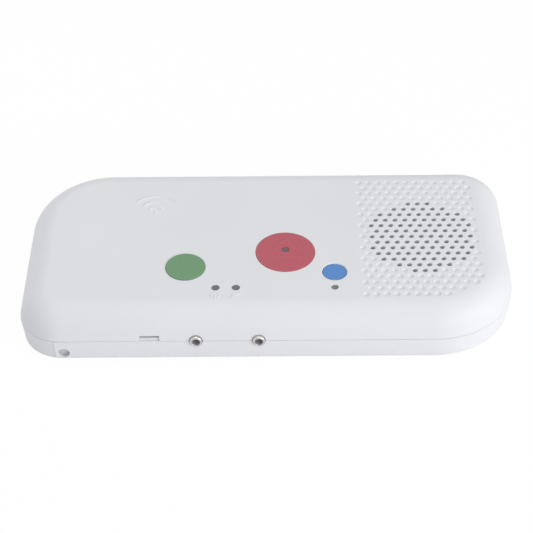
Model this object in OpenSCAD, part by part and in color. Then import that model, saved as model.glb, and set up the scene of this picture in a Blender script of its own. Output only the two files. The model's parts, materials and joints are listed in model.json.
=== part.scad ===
// Nurse call room terminal: a two-piece wall case with three sprung buttons, a loudspeaker
// behind a drilled grille, a card reader, status windows and two handset jacks.
// It lies on its back: +X is to the right, +Y is up the wall and +Z is out of the wall.

/* [Case] */
// Width of the case at its parting line
case_w = 222; // [216:1:250]
// Height of the case on the wall at its parting line
case_d = 107; // [105:1:120]
// Depth of the case, from the wall to the face
case_h = 25; // [24.8:0.1:26]
// Distance of the parting line from the wall
parting_z = 11; // [10.6:0.1:11.2]
// Corner radius at the upper left and the lower right
big_corner_r = 37.4; // [30:0.1:42]
// Corner radius at the upper right and the lower left
small_corner_r = 19.8; // [18:0.1:24]
// Radius of the shoulder between the side wall and the face
shoulder_r = 12.3; // [11:0.1:13]
// Draft of the front cover's side wall, in degrees
front_draft = 12.5; // [9:0.5:14]
// How far the rear cover draws in between the parting line and the wall
rear_draw = 0.96; // [0.4:0.02:1.2]
// Wall of both covers
wall = 2.2; // [1.8:0.1:2.4]
// Floor of the rear cover
floor_t = 2; // [1.6:0.1:2.4]
// Chamfer of both covers at the parting line
edge_chamfer = 0.2; // [0.2:0.05:0.6]
// Chamfer of the rear cover's edge on the wall
foot_chamfer = 0.7; // [0.3:0.1:1]
// Width of the fine moulding seam under each jack
seam_w = 0.4; // [0.2:0.05:0.6]
// Depth of the seam
seam_depth = 0.12; // [0.05:0.01:0.2]

/* [Closure] */
// Height of the rear cover's lip inside the front cover
lip_h = 1.8; // [1:0.1:2.2]
// Thickness of the lip
lip_t = 1.2; // [1:0.1:1.4]
// How far the lip reaches down the rear cover's wall
lip_root = 3; // [2:0.5:4]
// Gap between covers that slide into each other
cover_gap = 0.2; // [0.1:0.05:0.3]
// Width of a snap tongue
snap_w = 8.3; // [6:0.1:9]
// Thickness of a snap tongue
snap_t = 1.5; // [1.2:0.1:1.8]
// Reach of a snap tongue's nose over its ledge
snap_nose = 1; // [0.6:0.1:1.1]
// Room between the lip and a snap tongue
snap_room = 1.6; // [1.4:0.1:1.8]
// Height of a snap ledge and of a tongue's nose
snap_h = 1.2; // [1:0.1:1.4]
// Distance of the latch from the case's left edge
latch_left = 58.7; // [51:0.1:66]
// Distance of the two hooks at the upper edge from the middle
hook_x = 60; // [40:1:65]
// Width of the release notch in front of the latch
notch_w = 9.1; // [8.5:0.1:12]
// Height of the release notch
notch_h = 2.8; // [2:0.1:3]
// Gap on each side of the rear cover's tab in the notch
notch_gap = 0.3; // [0.2:0.05:0.5]
// Height of the tab in the notch
latch_tab_h = 1.5; // [1.2:0.1:2]
// How far the tab in the notch lies inside the parting outline
latch_tab_inset = 0.8; // [0.6:0.1:1.2]
// Distance of the lock screw from the case's left edge
lock_inset = 20.4; // [19:0.1:26]
// Distance of the lock screw from the wall
lock_z = 3.6; // [3.2:0.1:4]
// Width of the access hole for the lock screw
lock_access_d = 5.2; // [5.1:0.1:5.6]
// Width of the pad around the access hole
lock_pad_w = 7.4; // [6.5:0.1:8]
// How far the pad around the access hole stands out of the rear cover's wall
lock_pad_proud = 0.1; // [0.05:0.05:0.2]
// Distance of the lock screw's seat from the parting outline
lock_seat = 3.6; // [3.4:0.1:8]
// Wall behind the lock screw's seat
lock_wall = 2; // [1.5:0.1:2.5]
// Thickness of the front cover's tab that takes the lock screw
lock_tab_t = 4; // [3:0.1:5]

/* [Face] */
// Distance of the card reader mark from the case's left edge
wave_left = 58.75; // [56:0.05:63]
// Distance of the card reader mark from the case's upper edge
wave_top = 35.35; // [34:0.05:39]
// Radius of the innermost wave
wave_r = 3.5; // [3:0.1:4]
// Step from one wave to the next
wave_step = 4.15; // [3:0.05:4.5]
// Number of waves
wave_count = 3; // [1:1:4]
// Width of the dot under the waves
wave_dot_d = 1.9; // [1.4:0.1:3]
// Half the angle of a wave
wave_half = 49; // [30:1:60]
// Width of a raised line of the large mark
wave_stroke = 1.2; // [0.8:0.1:1.5]
// Width of a raised line of the small marks
icon_stroke = 0.55; // [0.4:0.05:0.7]
// Radius of the power mark
power_mark_r = 1.65; // [1.2:0.05:1.8]
// Half the opening of the power mark's ring, in degrees
power_mark_open = 40; // [20:1:60]
// Length of the power mark's stem
power_stem = 2.1; // [1.5:0.1:2.4]
// Radius of the mute mark's arc
mute_mark_r = 1.3; // [1:0.05:1.5]
// Half the opening of the mute mark's arc, in degrees
mute_mark_open = 60; // [40:1:80]
// Half the length of the mute mark's slash
mute_slash = 2.6; // [2:0.1:3]
// Slope of the slash, in degrees
mute_slope = 40; // [30:1:50]
// Distance of the small marks below their windows
icon_drop = 5.25; // [4.5:0.05:5.8]
// Height of the raised marks on the face
mark_h = 0.25; // [0.1:0.05:0.4]
// Distance of the power window from the case's left edge
power_left = 87.7; // [87:0.1:89]
// Distance of the mute window from the case's left edge
mute_left = 96.7; // [96:0.1:99]
// Distance of both windows from the case's lower edge
window_low = 19.55; // [18.5:0.05:20]
// Width of a status window
window_d = 3.66; // [3:0.02:4]
// Distance of the microphone port from the case's right edge
mic_right = 81.45; // [80.5:0.05:84]
// Distance of the microphone port from the case's lower edge
mic_low = 19.4; // [17.5:0.1:19.5]
// Width of the microphone port
mic_port_d = 3.3; // [3:0.1:3.5]

/* [Buttons] */
// Distance of the call button from the case's right edge
call_right = 103.1; // [102.2:0.1:104]
// Distance of the call button from the case's lower edge
call_low = 43.05; // [42:0.05:45.5]
// Width of the call button
call_d = 26.8; // [24:0.1:27.4]
// Distance of the presence button from the case's left edge
presence_left = 73.95; // [73:0.05:75]
// Distance of the presence button from the case's lower edge
presence_low = 33.3; // [32.5:0.1:35.5]
// Width of the presence button
presence_d = 17.8; // [16:0.1:18.6]
// Distance of the alarm button from the case's right edge
alarm_right = 81.25; // [80:0.05:81.4]
// Distance of the alarm button from the case's lower edge
alarm_low = 29.6; // [29.2:0.1:30]
// Width of the alarm button
alarm_d = 10.8; // [10:0.1:11]
// How far the call button stands out of the face
call_proud = 0.3; // [0:0.05:0.4]
// How far the presence button stands out of the face
presence_proud = 0.5; // [0:0.05:0.6]
// How far the alarm button lies below the face
alarm_sink = 0.2; // [0:0.1:1.2]
// Travel of every button
travel = 0.8; // [0.4:0.1:0.9]
// Gap around a button
button_gap = 0.25; // [0.2:0.05:0.4]
// Thickness of a button's crown and skirt
cap_t = 1.6; // [1.2:0.1:1.8]
// Rounding of a button's rim
rim_r = 0.8; // [0.3:0.1:0.9]
// Thickness of a button's flange
flange_t = 1; // [0.8:0.1:1.1]
// Reach of a button's flange under the face
flange_lip = 0.7; // [0.5:0.1:0.9]
// Wall of the collar that guides a flange
collar_t = 0.8; // [0.6:0.1:0.9]
// Height of the raised marks on the buttons
cap_mark_h = 0.15; // [0.05:0.05:0.3]
// Width of the posts that press on the switches
post_d = 4.4; // [3.6:0.1:5]
// Side of the triangle on the call button
triangle_side = 17; // [12:0.5:18]
// Width of the triangle's lines
triangle_stroke = 1.1; // [0.6:0.1:1.3]
// Distance of the triangle's middle above the call button's centre
triangle_up = 0.5; // [0:0.1:1]
// Radius of the inner wave on the call button
call_wave_r = 7.1; // [6:0.1:7.4]
// Step from the inner to the outer wave on the call button
call_wave_step = 2.6; // [2:0.1:2.8]
// Width of the waves on the call button
call_wave_stroke = 0.9; // [0.6:0.1:1.2]
// Start of the waves on the call button, in degrees
call_wave_from = -5; // [-20:1:10]
// End of the waves on the call button, in degrees
call_wave_to = 56; // [40:1:60]
// Outer width of the ring on the presence button
presence_ring_d = 7.2; // [5:0.1:8]
// Width of the ring's line
presence_ring_stroke = 0.9; // [0.6:0.1:1.3]
// Distance of the ring above the presence button's centre
presence_ring_up = 0.9; // [0:0.1:1.5]
// Width of the lens in the call button
lens_d = 3.4; // [2.8:0.1:4]
// Distance of the lens above the call button's centre
lens_up = 1.2; // [0:0.05:1.6]

/* [Grille and speaker] */
// Distance of the grille's centre from the case's right edge
grille_right = 40.75; // [39:0.05:40.75]
// Place of the grille's centre, up the face
grille_y = 0; // [-1:0.1:1]
// Spacing of the grille's holes and dimples
grille_pitch = 4.5; // [4.4:0.1:4.6]
// Columns of the grille
grille_cols = 12; // [10:1:12]
// Rows of the grille
grille_rows = 21; // [15:2:21]
// Radius of the field of through holes
field_r = 24.4; // [20:0.1:24.8]
// Width of a through hole
grille_hole_d = 2.3; // [1.8:0.1:2.6]
// Width of a dimple
dimple_d = 2.75; // [2:0.05:3]
// Depth of a dimple
dimple_h = 0.5; // [0.3:0.05:0.7]
// Width of the loudspeaker
speaker_d = 57; // [55:0.5:57.5]
// Depth of the loudspeaker
speaker_h = 16.4; // [15:0.1:18]
// Thickness of the loudspeaker's flange
speaker_flange_t = 1; // [0.8:0.1:1.2]
// Width of the loudspeaker's flange
speaker_flange_w = 3.3; // [3:0.1:4]
// Sheet thickness of the loudspeaker's frame
frame_t = 0.8; // [0.6:0.1:1]
// Width of the magnet
magnet_d = 28; // [24:1:32]
// Height of the magnet
magnet_h = 7; // [5:0.5:8]
// Width of the magnet's pole
pole_d = 10; // [8:0.5:11]
// Height of the pole above the magnet
pole_h = 3.9; // [3:0.1:4.2]
// Gap on each side of the voice coil
coil_gap = 1.1; // [0.8:0.1:1.2]
// Width of the dust cap on the cone
dust_cap_d = 14.6; // [14:0.1:18]
// Height of the dust cap's dome
dust_cap_h = 2.2; // [1.8:0.1:2.6]
// Width of the windows in the loudspeaker's frame
frame_window = 14; // [8:0.5:16]
// Thickness of the cone's paper
cone_t = 0.4; // [0.3:0.05:0.6]
// Thickness of the foam gasket
gasket_t = 1; // [0.8:0.1:1.5]
// Thickness of the grille cloth
cloth_t = 0.3; // [0.2:0.05:0.5]
// Gap between the loudspeaker and the rib around it
speaker_gap = 0.3; // [0.2:0.05:0.5]
// Thickness of the rib around the loudspeaker
speaker_rib_t = 1; // [0.8:0.1:1.2]
// Width of the loudspeaker's terminal strip
tag_w = 8; // [7:0.1:10]
// Thickness of the terminal strip
tag_t = 1; // [0.8:0.1:1.2]
// Bend radius of the loudspeaker's lead
lead_bend = 3; // [2:0.1:3.2]
// Length of the plug on the loudspeaker's lead
plug_l = 6; // [5:0.1:7]
// Height of the plug below the main board
plug_h = 4.5; // [4:0.1:5]
// Distance of the plug from the main board's right edge
plug_inset = 3; // [2:0.1:4]
// Width of a core of the loudspeaker's lead
lead_d = 1.2; // [1:0.1:1.4]
// Spacing of the two cores
lead_pitch = 2.5; // [2:0.1:3]

/* [Boards] */
// Distance of the main board from the case's left edge
board_left = 31; // [27:0.5:32]
// Distance of the main board from the case's right edge
board_right = 72; // [71.5:0.1:72.5]
// Room between the main board and the inside of the face
board_room = 5.6; // [5.4:0.1:5.8]
// Distance of the main board from the case's lower edge
board_low = 8; // [7.5:0.1:8.5]
// Distance of the main board from the case's upper edge
board_high = 10.5; // [8.5:0.1:11]
// Thickness of the main board
board_t = 1.6; // [1.2:0.1:1.7]
// Distance of a board screw from the board's edges
board_screw_inset = 5.5; // [5:0.1:6]
// Distance of the board screw between the two upper corners from the network socket
board_screw_gap = 7.9; // [6.5:0.1:9]
// Width of a boss for a board screw
boss_d = 7; // [6:0.1:7.5]
// Width of the card reader board
reader_w = 36; // [30:0.5:36]
// Distance of the card reader board from the presence button's collar
reader_gap = 8.3; // [7:0.1:10]
// Distance of the card reader board from the upper end of the flat face
reader_top = 7; // [6.9:0.1:8]
// Thickness of the card reader board
reader_t = 1; // [0.8:0.1:1.2]
// Length of the connector between the boards
header_l = 12.7; // [8:0.1:16]
// Width of the connector between the boards
header_w = 2.5; // [2:0.1:3]
// Side of a push switch
switch_w = 6; // [5.5:0.1:6.2]
// Height of a push switch
switch_h = 3.5; // [3.2:0.1:3.6]
// Width of a switch's stem
stem_d = 3.5; // [3:0.1:3.6]
// How far a stem stands out of its switch
stem_out = 1; // [1:0.05:1.1]
// How far a stem reaches into its switch
stem_in = 1; // [0.8:0.1:1.2]
// Half the spacing of the call button's two switches
call_switch_x = 7.5; // [6:0.1:8]
// Height of a status light
led_h = 1.9; // [1.2:0.1:2]
// Side of a status light
led_w = 3; // [2.4:0.1:3.2]
// Gap between a status light and its window
led_gap = 0.3; // [0.2:0.05:0.5]
// Reach of a window's flange under the face
window_lip = 0.7; // [0.5:0.1:0.9]
// Thickness of a window's or a lens's flange
window_t = 0.8; // [0.6:0.1:1]
// How far a window or a lens lies below the surface around it
window_sink = 0.05; // [0.02:0.01:0.2]
// Length of the microphone
mic_l = 3.5; // [3:0.1:4]
// Width of the microphone
mic_w = 2.7; // [2.4:0.1:3]
// Height of the microphone
mic_h = 1; // [0.8:0.1:1.2]
// Width of the rubber sleeve on the microphone
sleeve_d = 4.2; // [3.8:0.1:4.4]
// Width of the sound channel in the sleeve
sleeve_bore = 1.4; // [1:0.1:1.8]
// Thickness of the gauze between the sleeve and the microphone port
gauze_t = 0.2; // [0.1:0.05:0.3]
// How far the gauze cup ends below the face
gauze_sink = 0.5; // [0.3:0.1:1]

/* [Components] */
// Side of the processor
processor_w = 14; // [10:0.5:16]
// Height of the processor
processor_h = 1.4; // [1:0.1:1.8]
// Place of the processor, across
processor_x = -8; // [-12:0.5:-4]
// Distance of the processor and the radio module from the main board's upper edge
logic_top = 23; // [20:0.5:26]
// Width of the radio module
radio_w = 20; // [16:0.5:22]
// Length of the radio module
radio_l = 16; // [12:0.5:18]
// Height of the radio module
radio_h = 2.4; // [2:0.1:3]
// Place of the radio module, across
radio_x = 17; // [16:0.5:20]
// Side of the audio amplifier
amplifier_w = 5; // [4:0.1:6]
// Height of the audio amplifier
amplifier_h = 0.9; // [0.7:0.1:1.2]
// Distance of the audio amplifier from the main board's right edge
amplifier_inset = 6; // [5:0.5:9]
// Place of the audio amplifier, up the board
amplifier_y = 5; // [0:0.5:10]
// Width of a capacitor
capacitor_d = 6.3; // [5:0.1:7]
// Height of a capacitor
capacitor_h = 5; // [4:0.1:5.2]
// Spacing of the capacitors
capacitor_pitch = 8; // [7.5:0.1:9]
// Number of capacitors
capacitor_count = 3; // [1:1:3]
// Distance of the capacitors and the power inductor from the case's left edge
power_parts_left = 49; // [45:0.5:51]
// Distance of the lowest capacitor from the main board's lower edge
capacitor_low = 19.5; // [17.5:0.5:21.5]
// Side of the power inductor
inductor_w = 8; // [6:0.1:9]
// Height of the power inductor
inductor_h = 4; // [3:0.1:5]
// Distance of the power inductor from the main board's lower edge
inductor_low = 8.5; // [6.5:0.5:9.5]

/* [Jacks] */
// Distance of the left jack from the case's left edge
jack_left = 79.2; // [75:0.1:83]
// Spacing of the two jacks
jack_pitch = 27.6; // [22:0.1:36]
// Width of a jack's bushing
bushing_d = 5.75; // [5.5:0.05:6]
// Width of a jack's bore
jack_bore_d = 3.6; // [3.55:0.05:3.7]
// Number of sides of a bushing's seat in the covers
seat_sides = 12; // [8:4:12]
// How far a bushing stands out of the case
bushing_proud = 0.9; // [0.3:0.1:1.5]
// Rounding of a bushing's lip
bushing_lip = 0.7; // [0.3:0.1:0.9]
// Width of a jack's body
jack_w = 10; // [9:0.1:12]
// Length of a jack's body
jack_l = 12; // [10:0.1:14]
// Gap between the rear cover's lip and a jack's body
jack_gap = 0.3; // [0.2:0.05:0.6]
// Width of the space for the plug's tip inside a jack's body
jack_well_d = 4; // [3.8:0.1:4.4]
// Wall at the far end of a jack's body
jack_end = 2; // [1.5:0.1:3]

/* [Wiring side] */
// Width of the network socket
socket_w = 16.2; // [15.8:0.1:17]
// Length of the network socket
socket_l = 14.6; // [13:0.1:15]
// Height of the network socket
socket_h = 11.5; // [11:0.1:11.9]
// Place of the network socket, across
socket_x = -8; // [-9:0.5:-5]
// Width of the socket's port
port_w = 11.9; // [11.8:0.1:12.2]
// Height of the socket's port
port_h = 7; // [6.8:0.1:7.4]
// Depth of the socket's port
port_l = 12; // [11:0.1:12.4]
// Place of the terminal block, across
terminal_x = 16; // [14:0.5:18]
// Spacing of the terminals
terminal_pitch = 5.08; // [5:0.01:5.08]
// Number of terminals
terminal_count = 4; // [2:1:4]
// Depth of the terminal block
terminal_l = 9.8; // [9:0.1:11]
// Height of the terminal block
terminal_h = 10; // [9:0.1:11]
// Width of a terminal's wire entry
terminal_entry = 3; // [2.4:0.1:3.4]
// Number of contacts in the network socket
contact_count = 8; // [4:1:8]
// Spacing of the network contacts
contact_pitch = 1.02; // [1:0.01:1.1]
// Thickness of a network contact
contact_t = 0.4; // [0.3:0.05:0.5]
// Length of a network contact
contact_l = 8; // [6:0.5:10]
// Wall between the socket's port and its side away from the board
port_wall = 2; // [1.6:0.1:2.4]
// Width of a terminal's screw
terminal_screw_d = 3; // [2.6:0.1:3.2]
// Length of a terminal's screw
terminal_screw_l = 2.5; // [2:0.1:3]
// Width of the cable opening in the rear cover
cable_w = 46; // [40:0.5:48]
// Height of the cable opening in the rear cover
cable_d = 30; // [24:0.5:30]
// Corner radius of the cable opening
cable_r = 4; // [2:0.5:8]
// Place of the cable opening, up the wall
cable_y = 8; // [4:0.5:8]
// Distance of the network socket and the terminals above the cable opening
wiring_gap = 1; // [0.5:0.1:1.2]
// Spacing of the two slots that fit a flush wiring box
slot_pitch = 60; // [60:0.5:70]
// Length of a slot
slot_l = 8; // [6:0.1:9]
// Width of a slot
slot_w = 4.4; // [4:0.1:5]
// Spacing of the four wall holes, across
wall_hole_x = 176; // [160:1:180]
// Spacing of the four wall holes, up the wall
wall_hole_y = 68; // [60:1:70]
// Width of a wall hole
wall_hole_d = 4.5; // [4:0.1:5]

/* [Screws] */
// Width of a screw's shank
shank_d = 2.5; // [2.2:0.1:2.8]
// Width of a screw's head
head_d = 5; // [4.6:0.1:5]
// Height of a screw's head
head_h = 2; // [1.6:0.1:2.2]
// Length of the cross in a screw's head
drive_l = 3; // [2.4:0.1:3.6]
// Width of the cross's arms
drive_w = 0.8; // [0.6:0.1:1]
// Depth of the cross
drive_h = 0.6; // [0.4:0.1:0.9]
// Width of the washer head on a loudspeaker screw
washer_d = 8; // [7.6:0.1:9]
// Thickness of the washer head
washer_t = 1.2; // [1:0.1:1.5]
// How far a washer head reaches over the loudspeaker's flange
washer_hold = 1.5; // [1:0.1:1.8]
// Gap between a fixed piece and the hole it sits in
fit_gap = 0.05; // [0.03:0.01:0.1]

/* [Hidden] */
$fn = 96;

// How far a piece that joins another of the same node reaches into it
bite = 0.5;
// How far a cut reaches past the surface it opens
over = 1;
// Centre height of the shoulder's arc
shoulder_z = case_h - shoulder_r;
// How far the flat face lies inside the parting outline, to the micrometre, so that sides and corners meet
flat_inset = round(1000 * (shoulder_r * cos(front_draft)
    + (shoulder_z + shoulder_r * sin(front_draft) - parting_z) * tan(front_draft))) / 1000;
// Inner surface of the face
inner_z = case_h - wall;
// Horizontal thickness of the front cover's drafted wall
draft_wall = wall / cos(front_draft);
// How far the rear cover's lip lies inside the parting outline, clear of the drafted wall, to the micrometre
lip_inset = round(1000 * (draft_wall + cover_gap + lip_h * tan(front_draft))) / 1000;
// Where a drafted wall enters the shoulder's arc: angle past the tangent point and depth inside the arc
wall_lead = 1;
wall_tuck = 0.003;
// The corners, anticlockwise from the upper right: outline radius and centre
CORNER_R = [small_corner_r, big_corner_r, small_corner_r, big_corner_r];
CORNER_AT = [for (i = [0:3]) let (sx = [1, -1, -1, 1][i], sy = [1, 1, -1, -1][i])
    [sx * (case_w / 2 - CORNER_R[i]), sy * (case_d / 2 - CORNER_R[i])]];
// Where the pieces lie that keep their distance from an edge of the case
left_x = -case_w / 2;
right_x = case_w / 2;
lower_y = -case_d / 2;
upper_y = case_d / 2;
latch_x = left_x + latch_left;
lock_x = left_x + lock_inset;
wave_x = left_x + wave_left;
power_x = left_x + power_left;
mute_x = left_x + mute_left;
presence_x = left_x + presence_left;
jack_x = left_x + jack_left;
power_parts_x = left_x + power_parts_left;
mic_x = right_x - mic_right;
call_x = right_x - call_right;
alarm_x = right_x - alarm_right;
grille_x = right_x - grille_right;
board_x0 = left_x + board_left;
board_x1 = right_x - board_right;
wave_y = upper_y - wave_top;
window_y = lower_y + window_low;
mic_y = lower_y + mic_low;
call_y = lower_y + call_low;
presence_y = lower_y + presence_low;
alarm_y = lower_y + alarm_low;
board_y0 = lower_y + board_low;
board_y1 = upper_y - board_high;
logic_y = board_y1 - logic_top;
// Both faces of the main board, the jacks' distance from it and the reach of its screws
board_z1 = inner_z - board_room;
board_z0 = board_z1 - board_t;
jack_axis_h = board_z0 - parting_z;
pilot_d = shank_d + 2 * fit_gap;
pilot_end = inner_z - bite;
BOARD_SCREWS = [
    [board_x0 + board_screw_inset, board_y0 + board_screw_inset],
    [board_x0 + board_screw_inset, board_y1 - board_screw_inset],
    [socket_x - socket_w / 2 - board_screw_gap, board_y1 - board_screw_inset],
    [board_x1 - board_screw_inset, board_y1 - board_screw_inset],
    [board_x1 - board_screw_inset, board_y0 + board_screw_inset],
];
// Heights of the switches and of the button flanges
switch_z = board_z1 + switch_h;
stem_z = switch_z + stem_out;
stem_root = switch_z - stem_in;
flange_z1 = inner_z - button_gap / 2;
flange_z0 = flange_z1 - flange_t;
// Heights of the buttons' tops, and place and width of the buttons
call_z = case_h + call_proud;
presence_z = case_h + presence_proud;
alarm_z = case_h - alarm_sink;
BUTTONS = [[call_x, call_y, call_d], [presence_x, presence_y, presence_d], [alarm_x, alarm_y, alarm_d]];
CALL_SWITCHES = [[call_x - call_switch_x, call_y], [call_x + call_switch_x, call_y]];
LENS = [call_x, call_y + lens_up];
// Both ends of the card reader board, up the face
reader_y0 = presence_y + pocket_d(BUTTONS[1]) / 2 + collar_t + reader_gap;
reader_y1 = upper_y - flat_inset - reader_top;
// Heights of the loudspeaker's layers, from the face inwards
cloth_z = inner_z - cloth_t;
gasket_z = cloth_z - gasket_t;
flange_back_z = gasket_z - speaker_flange_t;
speaker_r = speaker_d / 2;
cone_r = speaker_r - speaker_flange_w;
magnet_z1 = gasket_z - speaker_h + magnet_h;
magnet_z0 = magnet_z1 - magnet_h;
plate_z1 = magnet_z1 + frame_t;
coil_r = pole_d / 2 + coil_gap;
neck_r = coil_r + cone_t + coil_gap;
cone_z = magnet_z1 + pole_h - bite;
cone_edge_r = cone_r - speaker_gap;
cone_slope = (gasket_z + cone_t - cone_z) / (cone_edge_r - coil_r);
SPEAKER_SCREWS = [for (a = [45:90:315]) [cos(a), sin(a)] * (speaker_r + washer_d / 2 - washer_hold)];
// Heights of the snaps
snap_inset = lip_inset + lip_t + snap_room;
ledge_z = parting_z + notch_h + cover_gap;
nose_z = ledge_z + snap_h + cover_gap;
lock_seat_y = -case_d / 2 + lock_seat;
lock_tab_y = lock_seat_y + lock_wall + cover_gap;
JACKS = [jack_x, jack_x + jack_pitch];
jack_inset = lip_inset + lip_t + jack_gap;
jack_y = -case_d / 2 + jack_inset;
wiring_y = cable_y + cable_d / 2 + wiring_gap;

CASE_WHITE = "#dedee3";
BOARD_GREEN = "#2f6b45";
STEEL = "#b9bcc0";
BLACK = "#26272a";

// Two-dimensional helpers

// The part of a disc between two angles
module sector(c, r, a0, a1) {
    translate(c) intersection() {
        circle(r);
        polygon([[0, 0], for (a = [a0, (a0 + a1) / 2, a1]) 2 * r * [cos(a), sin(a)]]);
    }
}

module rounded_rect(w, d, r) {
    square([w - 2 * r, d], center = true);
    square([w, d - 2 * r], center = true);
    for (sx = [-1, 1], sy = [-1, 1])
        translate([sx * (w / 2 - r), sy * (d / 2 - r)]) circle(r);
}

// The case's outline at the parting line, drawn in by an inset
module outline(inset) {
    for (i = [0:3]) translate(CORNER_AT[i]) circle(CORNER_R[i] - inset);
    polygon([for (i = [0:3], a = [0, 90])
        CORNER_AT[i] + (CORNER_R[i] - inset) * [cos(90 * i + a), sin(90 * i + a)]]);
}

// Section of the front cover at a corner of outline radius R, filled down to z0
module front_section(R, r, z0, chamfer = 0) {
    c = [R - flat_inset, shoulder_z];
    a = c + r * [cos(front_draft), sin(front_draft)];
    lead = front_draft + wall_lead;
    polygon([
        [0, z0],
        [a.x + (a.y - z0) * tan(front_draft) - chamfer, z0],
        [a.x + (a.y - z0 - chamfer) * tan(front_draft), z0 + chamfer],
        c + (r - wall_tuck) * [cos(lead), sin(lead)],
        [c.x, c.y + r],
        [0, c.y + r],
    ]);
    sector(c, r, 0, 90);
}

// Section of the rear cover at a corner of outline radius R, filled up from z0
module rear_section(R, z0, foot) {
    slope = rear_draw / parting_z;
    polygon([
        [0, z0],
        [R - slope * (parting_z - z0) - foot, z0],
        [R - slope * (parting_z - z0 - foot), z0 + foot],
        [R - slope * edge_chamfer, parting_z - edge_chamfer],
        [R - edge_chamfer, parting_z],
        [0, parting_z],
    ]);
}

// Carries a section round the case: child 0 is the section at the sharp corners and the
// sides, child 1 at the wide corners, and the core fills the middle from z0 to z1
module carry_round(z0, z1) {
    for (i = [0:3]) {
        translate(CORNER_AT[i]) rotate([0, 0, 90 * i]) rotate_extrude(angle = 90) children(i % 2);
        j = (i + 1) % 4;
        out = [cos(90 * j), sin(90 * j)];
        run = norm([(1 - abs(out.x)) * (CORNER_AT[i].x - CORNER_AT[j].x),
            (1 - abs(out.y)) * (CORNER_AT[i].y - CORNER_AT[j].y)]);
        translate(CORNER_AT[j] + (CORNER_R[j] - small_corner_r) * out)
            rotate([90, 0, 90 * j]) linear_extrude(run) children(0);
    }
    translate([0, 0, z0]) linear_extrude(z1 - z0) polygon([for (i = [0:3])
        each i % 2 == 0 ? [CORNER_AT[i]] : [
            CORNER_AT[i] + (big_corner_r - small_corner_r) * [cos(90 * i), sin(90 * i)],
            CORNER_AT[i],
            CORNER_AT[i] + (big_corner_r - small_corner_r) * [cos(90 * i + 90), sin(90 * i + 90)],
        ]]);
}

// Three-dimensional helpers

module block(x, y, z0, size) {
    translate([x - size.x / 2, y - size.y / 2, z0]) cube(size);
}

module rod(at, d, z0, z1) {
    translate([at.x, at.y, z0]) cylinder(d = d, h = z1 - z0);
}

module tube(at, d_out, d_in, z0, z1) {
    difference() {
        rod(at, d_out, z0, z1);
        rod(at, d_in, z0 - over, z1 + over);
    }
}

// A cylinder that runs up the wall, from y0 to y1
module rod_y(x, z, d, y0, y1) {
    translate([x, y0, z]) rotate([-90, 0, 0]) cylinder(d = d, h = y1 - y0);
}

// The many-sided seat of a jack's bushing, half in each cover
module bushing_seat(x) {
    translate([x, -case_d / 2 - over, parting_z]) rotate([-90, 0, 0])
        cylinder(d = (bushing_d + 2 * fit_gap) / cos(180 / seat_sides), h = jack_inset + over, $fn = seat_sides);
}

// A raised arc that stands on z = 0
module arc_ridge(r, stroke, a0, a1, height) {
    translate([0, 0, -bite]) rotate([0, 0, a0]) rotate_extrude(angle = a1 - a0)
        translate([r - stroke / 2, 0]) square([stroke, bite + height]);
}

// A raised line that stands on z = 0
module line_ridge(p0, p1, stroke, height) {
    d = p1 - p0;
    translate([p0.x, p0.y, -bite]) rotate([0, 0, atan2(d.y, d.x)])
        translate([0, -stroke / 2, 0]) cube([norm(d), stroke, bite + height]);
}

// A pan head screw pointing along +Z, with its head below z = 0
module pan_screw(length, head, head_height) {
    difference() {
        union() {
            translate([0, 0, -head_height]) cylinder(d = head, h = head_height);
            translate([0, 0, -fit_gap]) cylinder(d = shank_d, h = length + fit_gap);
        }
        for (a = [0, 90]) rotate([0, 0, a])
            translate([-drive_l / 2, -drive_w / 2, -head_height - over]) cube([drive_l, drive_w, over + drive_h]);
    }
}

// Grille

function grille_point(row, col) = [
    grille_x + (col - (grille_cols - 1) / 2) * grille_pitch
        - ((row - (grille_rows - 1) / 2) % 2 == 0 ? grille_pitch / 2 : 0),
    grille_y + (row - (grille_rows - 1) / 2) * grille_pitch * sqrt(3) / 2,
];
GRILLE = [for (row = [0:grille_rows - 1], col = [0:grille_cols - 1]) grille_point(row, col)];
GRILLE_CENTRE = [grille_x, grille_y];
// A dimple has its middle on the flat face, which the wide lower right corner cuts back
function on_face(p) = let (d = p - CORNER_AT[3])
    abs(p.y) < case_d / 2 - flat_inset && (d.x < 0 || d.y > 0 || norm(d) < big_corner_r - flat_inset);
HOLES = [for (p = GRILLE) if (norm(p - GRILLE_CENTRE) <= field_r) p];
DIMPLES = [for (p = GRILLE) if (norm(p - GRILLE_CENTRE) > field_r && on_face(p)) p];

// The hollow of a dimple, part of a ball, open at z = 0
module dimple() {
    ball_r = (dimple_d * dimple_d / 4 + dimple_h * dimple_h) / (2 * dimple_h);
    rotate_extrude() intersection() {
        translate([0, ball_r - dimple_h]) circle(ball_r);
        translate([0, -dimple_h]) square([ball_r, dimple_h + over]);
    }
}

// Covers

// Width of the pocket in which a button's flange moves
function pocket_d(b) = b[2] + 2 * (2 * button_gap + flange_lip);

module front_shell() {
    difference() {
        carry_round(parting_z, case_h) {
            front_section(small_corner_r, shoulder_r, parting_z, edge_chamfer);
            front_section(big_corner_r, shoulder_r, parting_z, edge_chamfer);
        }
        carry_round(parting_z - over, inner_z) {
            front_section(small_corner_r, shoulder_r - wall, parting_z - over);
            front_section(big_corner_r, shoulder_r - wall, parting_z - over);
        }
    }
}

// A ledge of the front cover, seen from the lower edge
module snap_ledge(x) {
    block(x, -case_d / 2 + (wall + snap_inset - cover_gap) / 2, ledge_z,
        [snap_w, snap_inset - cover_gap - wall, snap_h]);
}

// A tongue of the rear cover with its nose over the ledge, seen from the lower edge
module snap_tongue(x) {
    y0 = -case_d / 2 + snap_inset;
    block(x, y0 + snap_t / 2, floor_t - bite, [snap_w, snap_t, nose_z + snap_h - floor_t + bite]);
    block(x, y0 + (bite - snap_nose) / 2, nose_z, [snap_w, snap_nose + bite, snap_h]);
}

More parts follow.
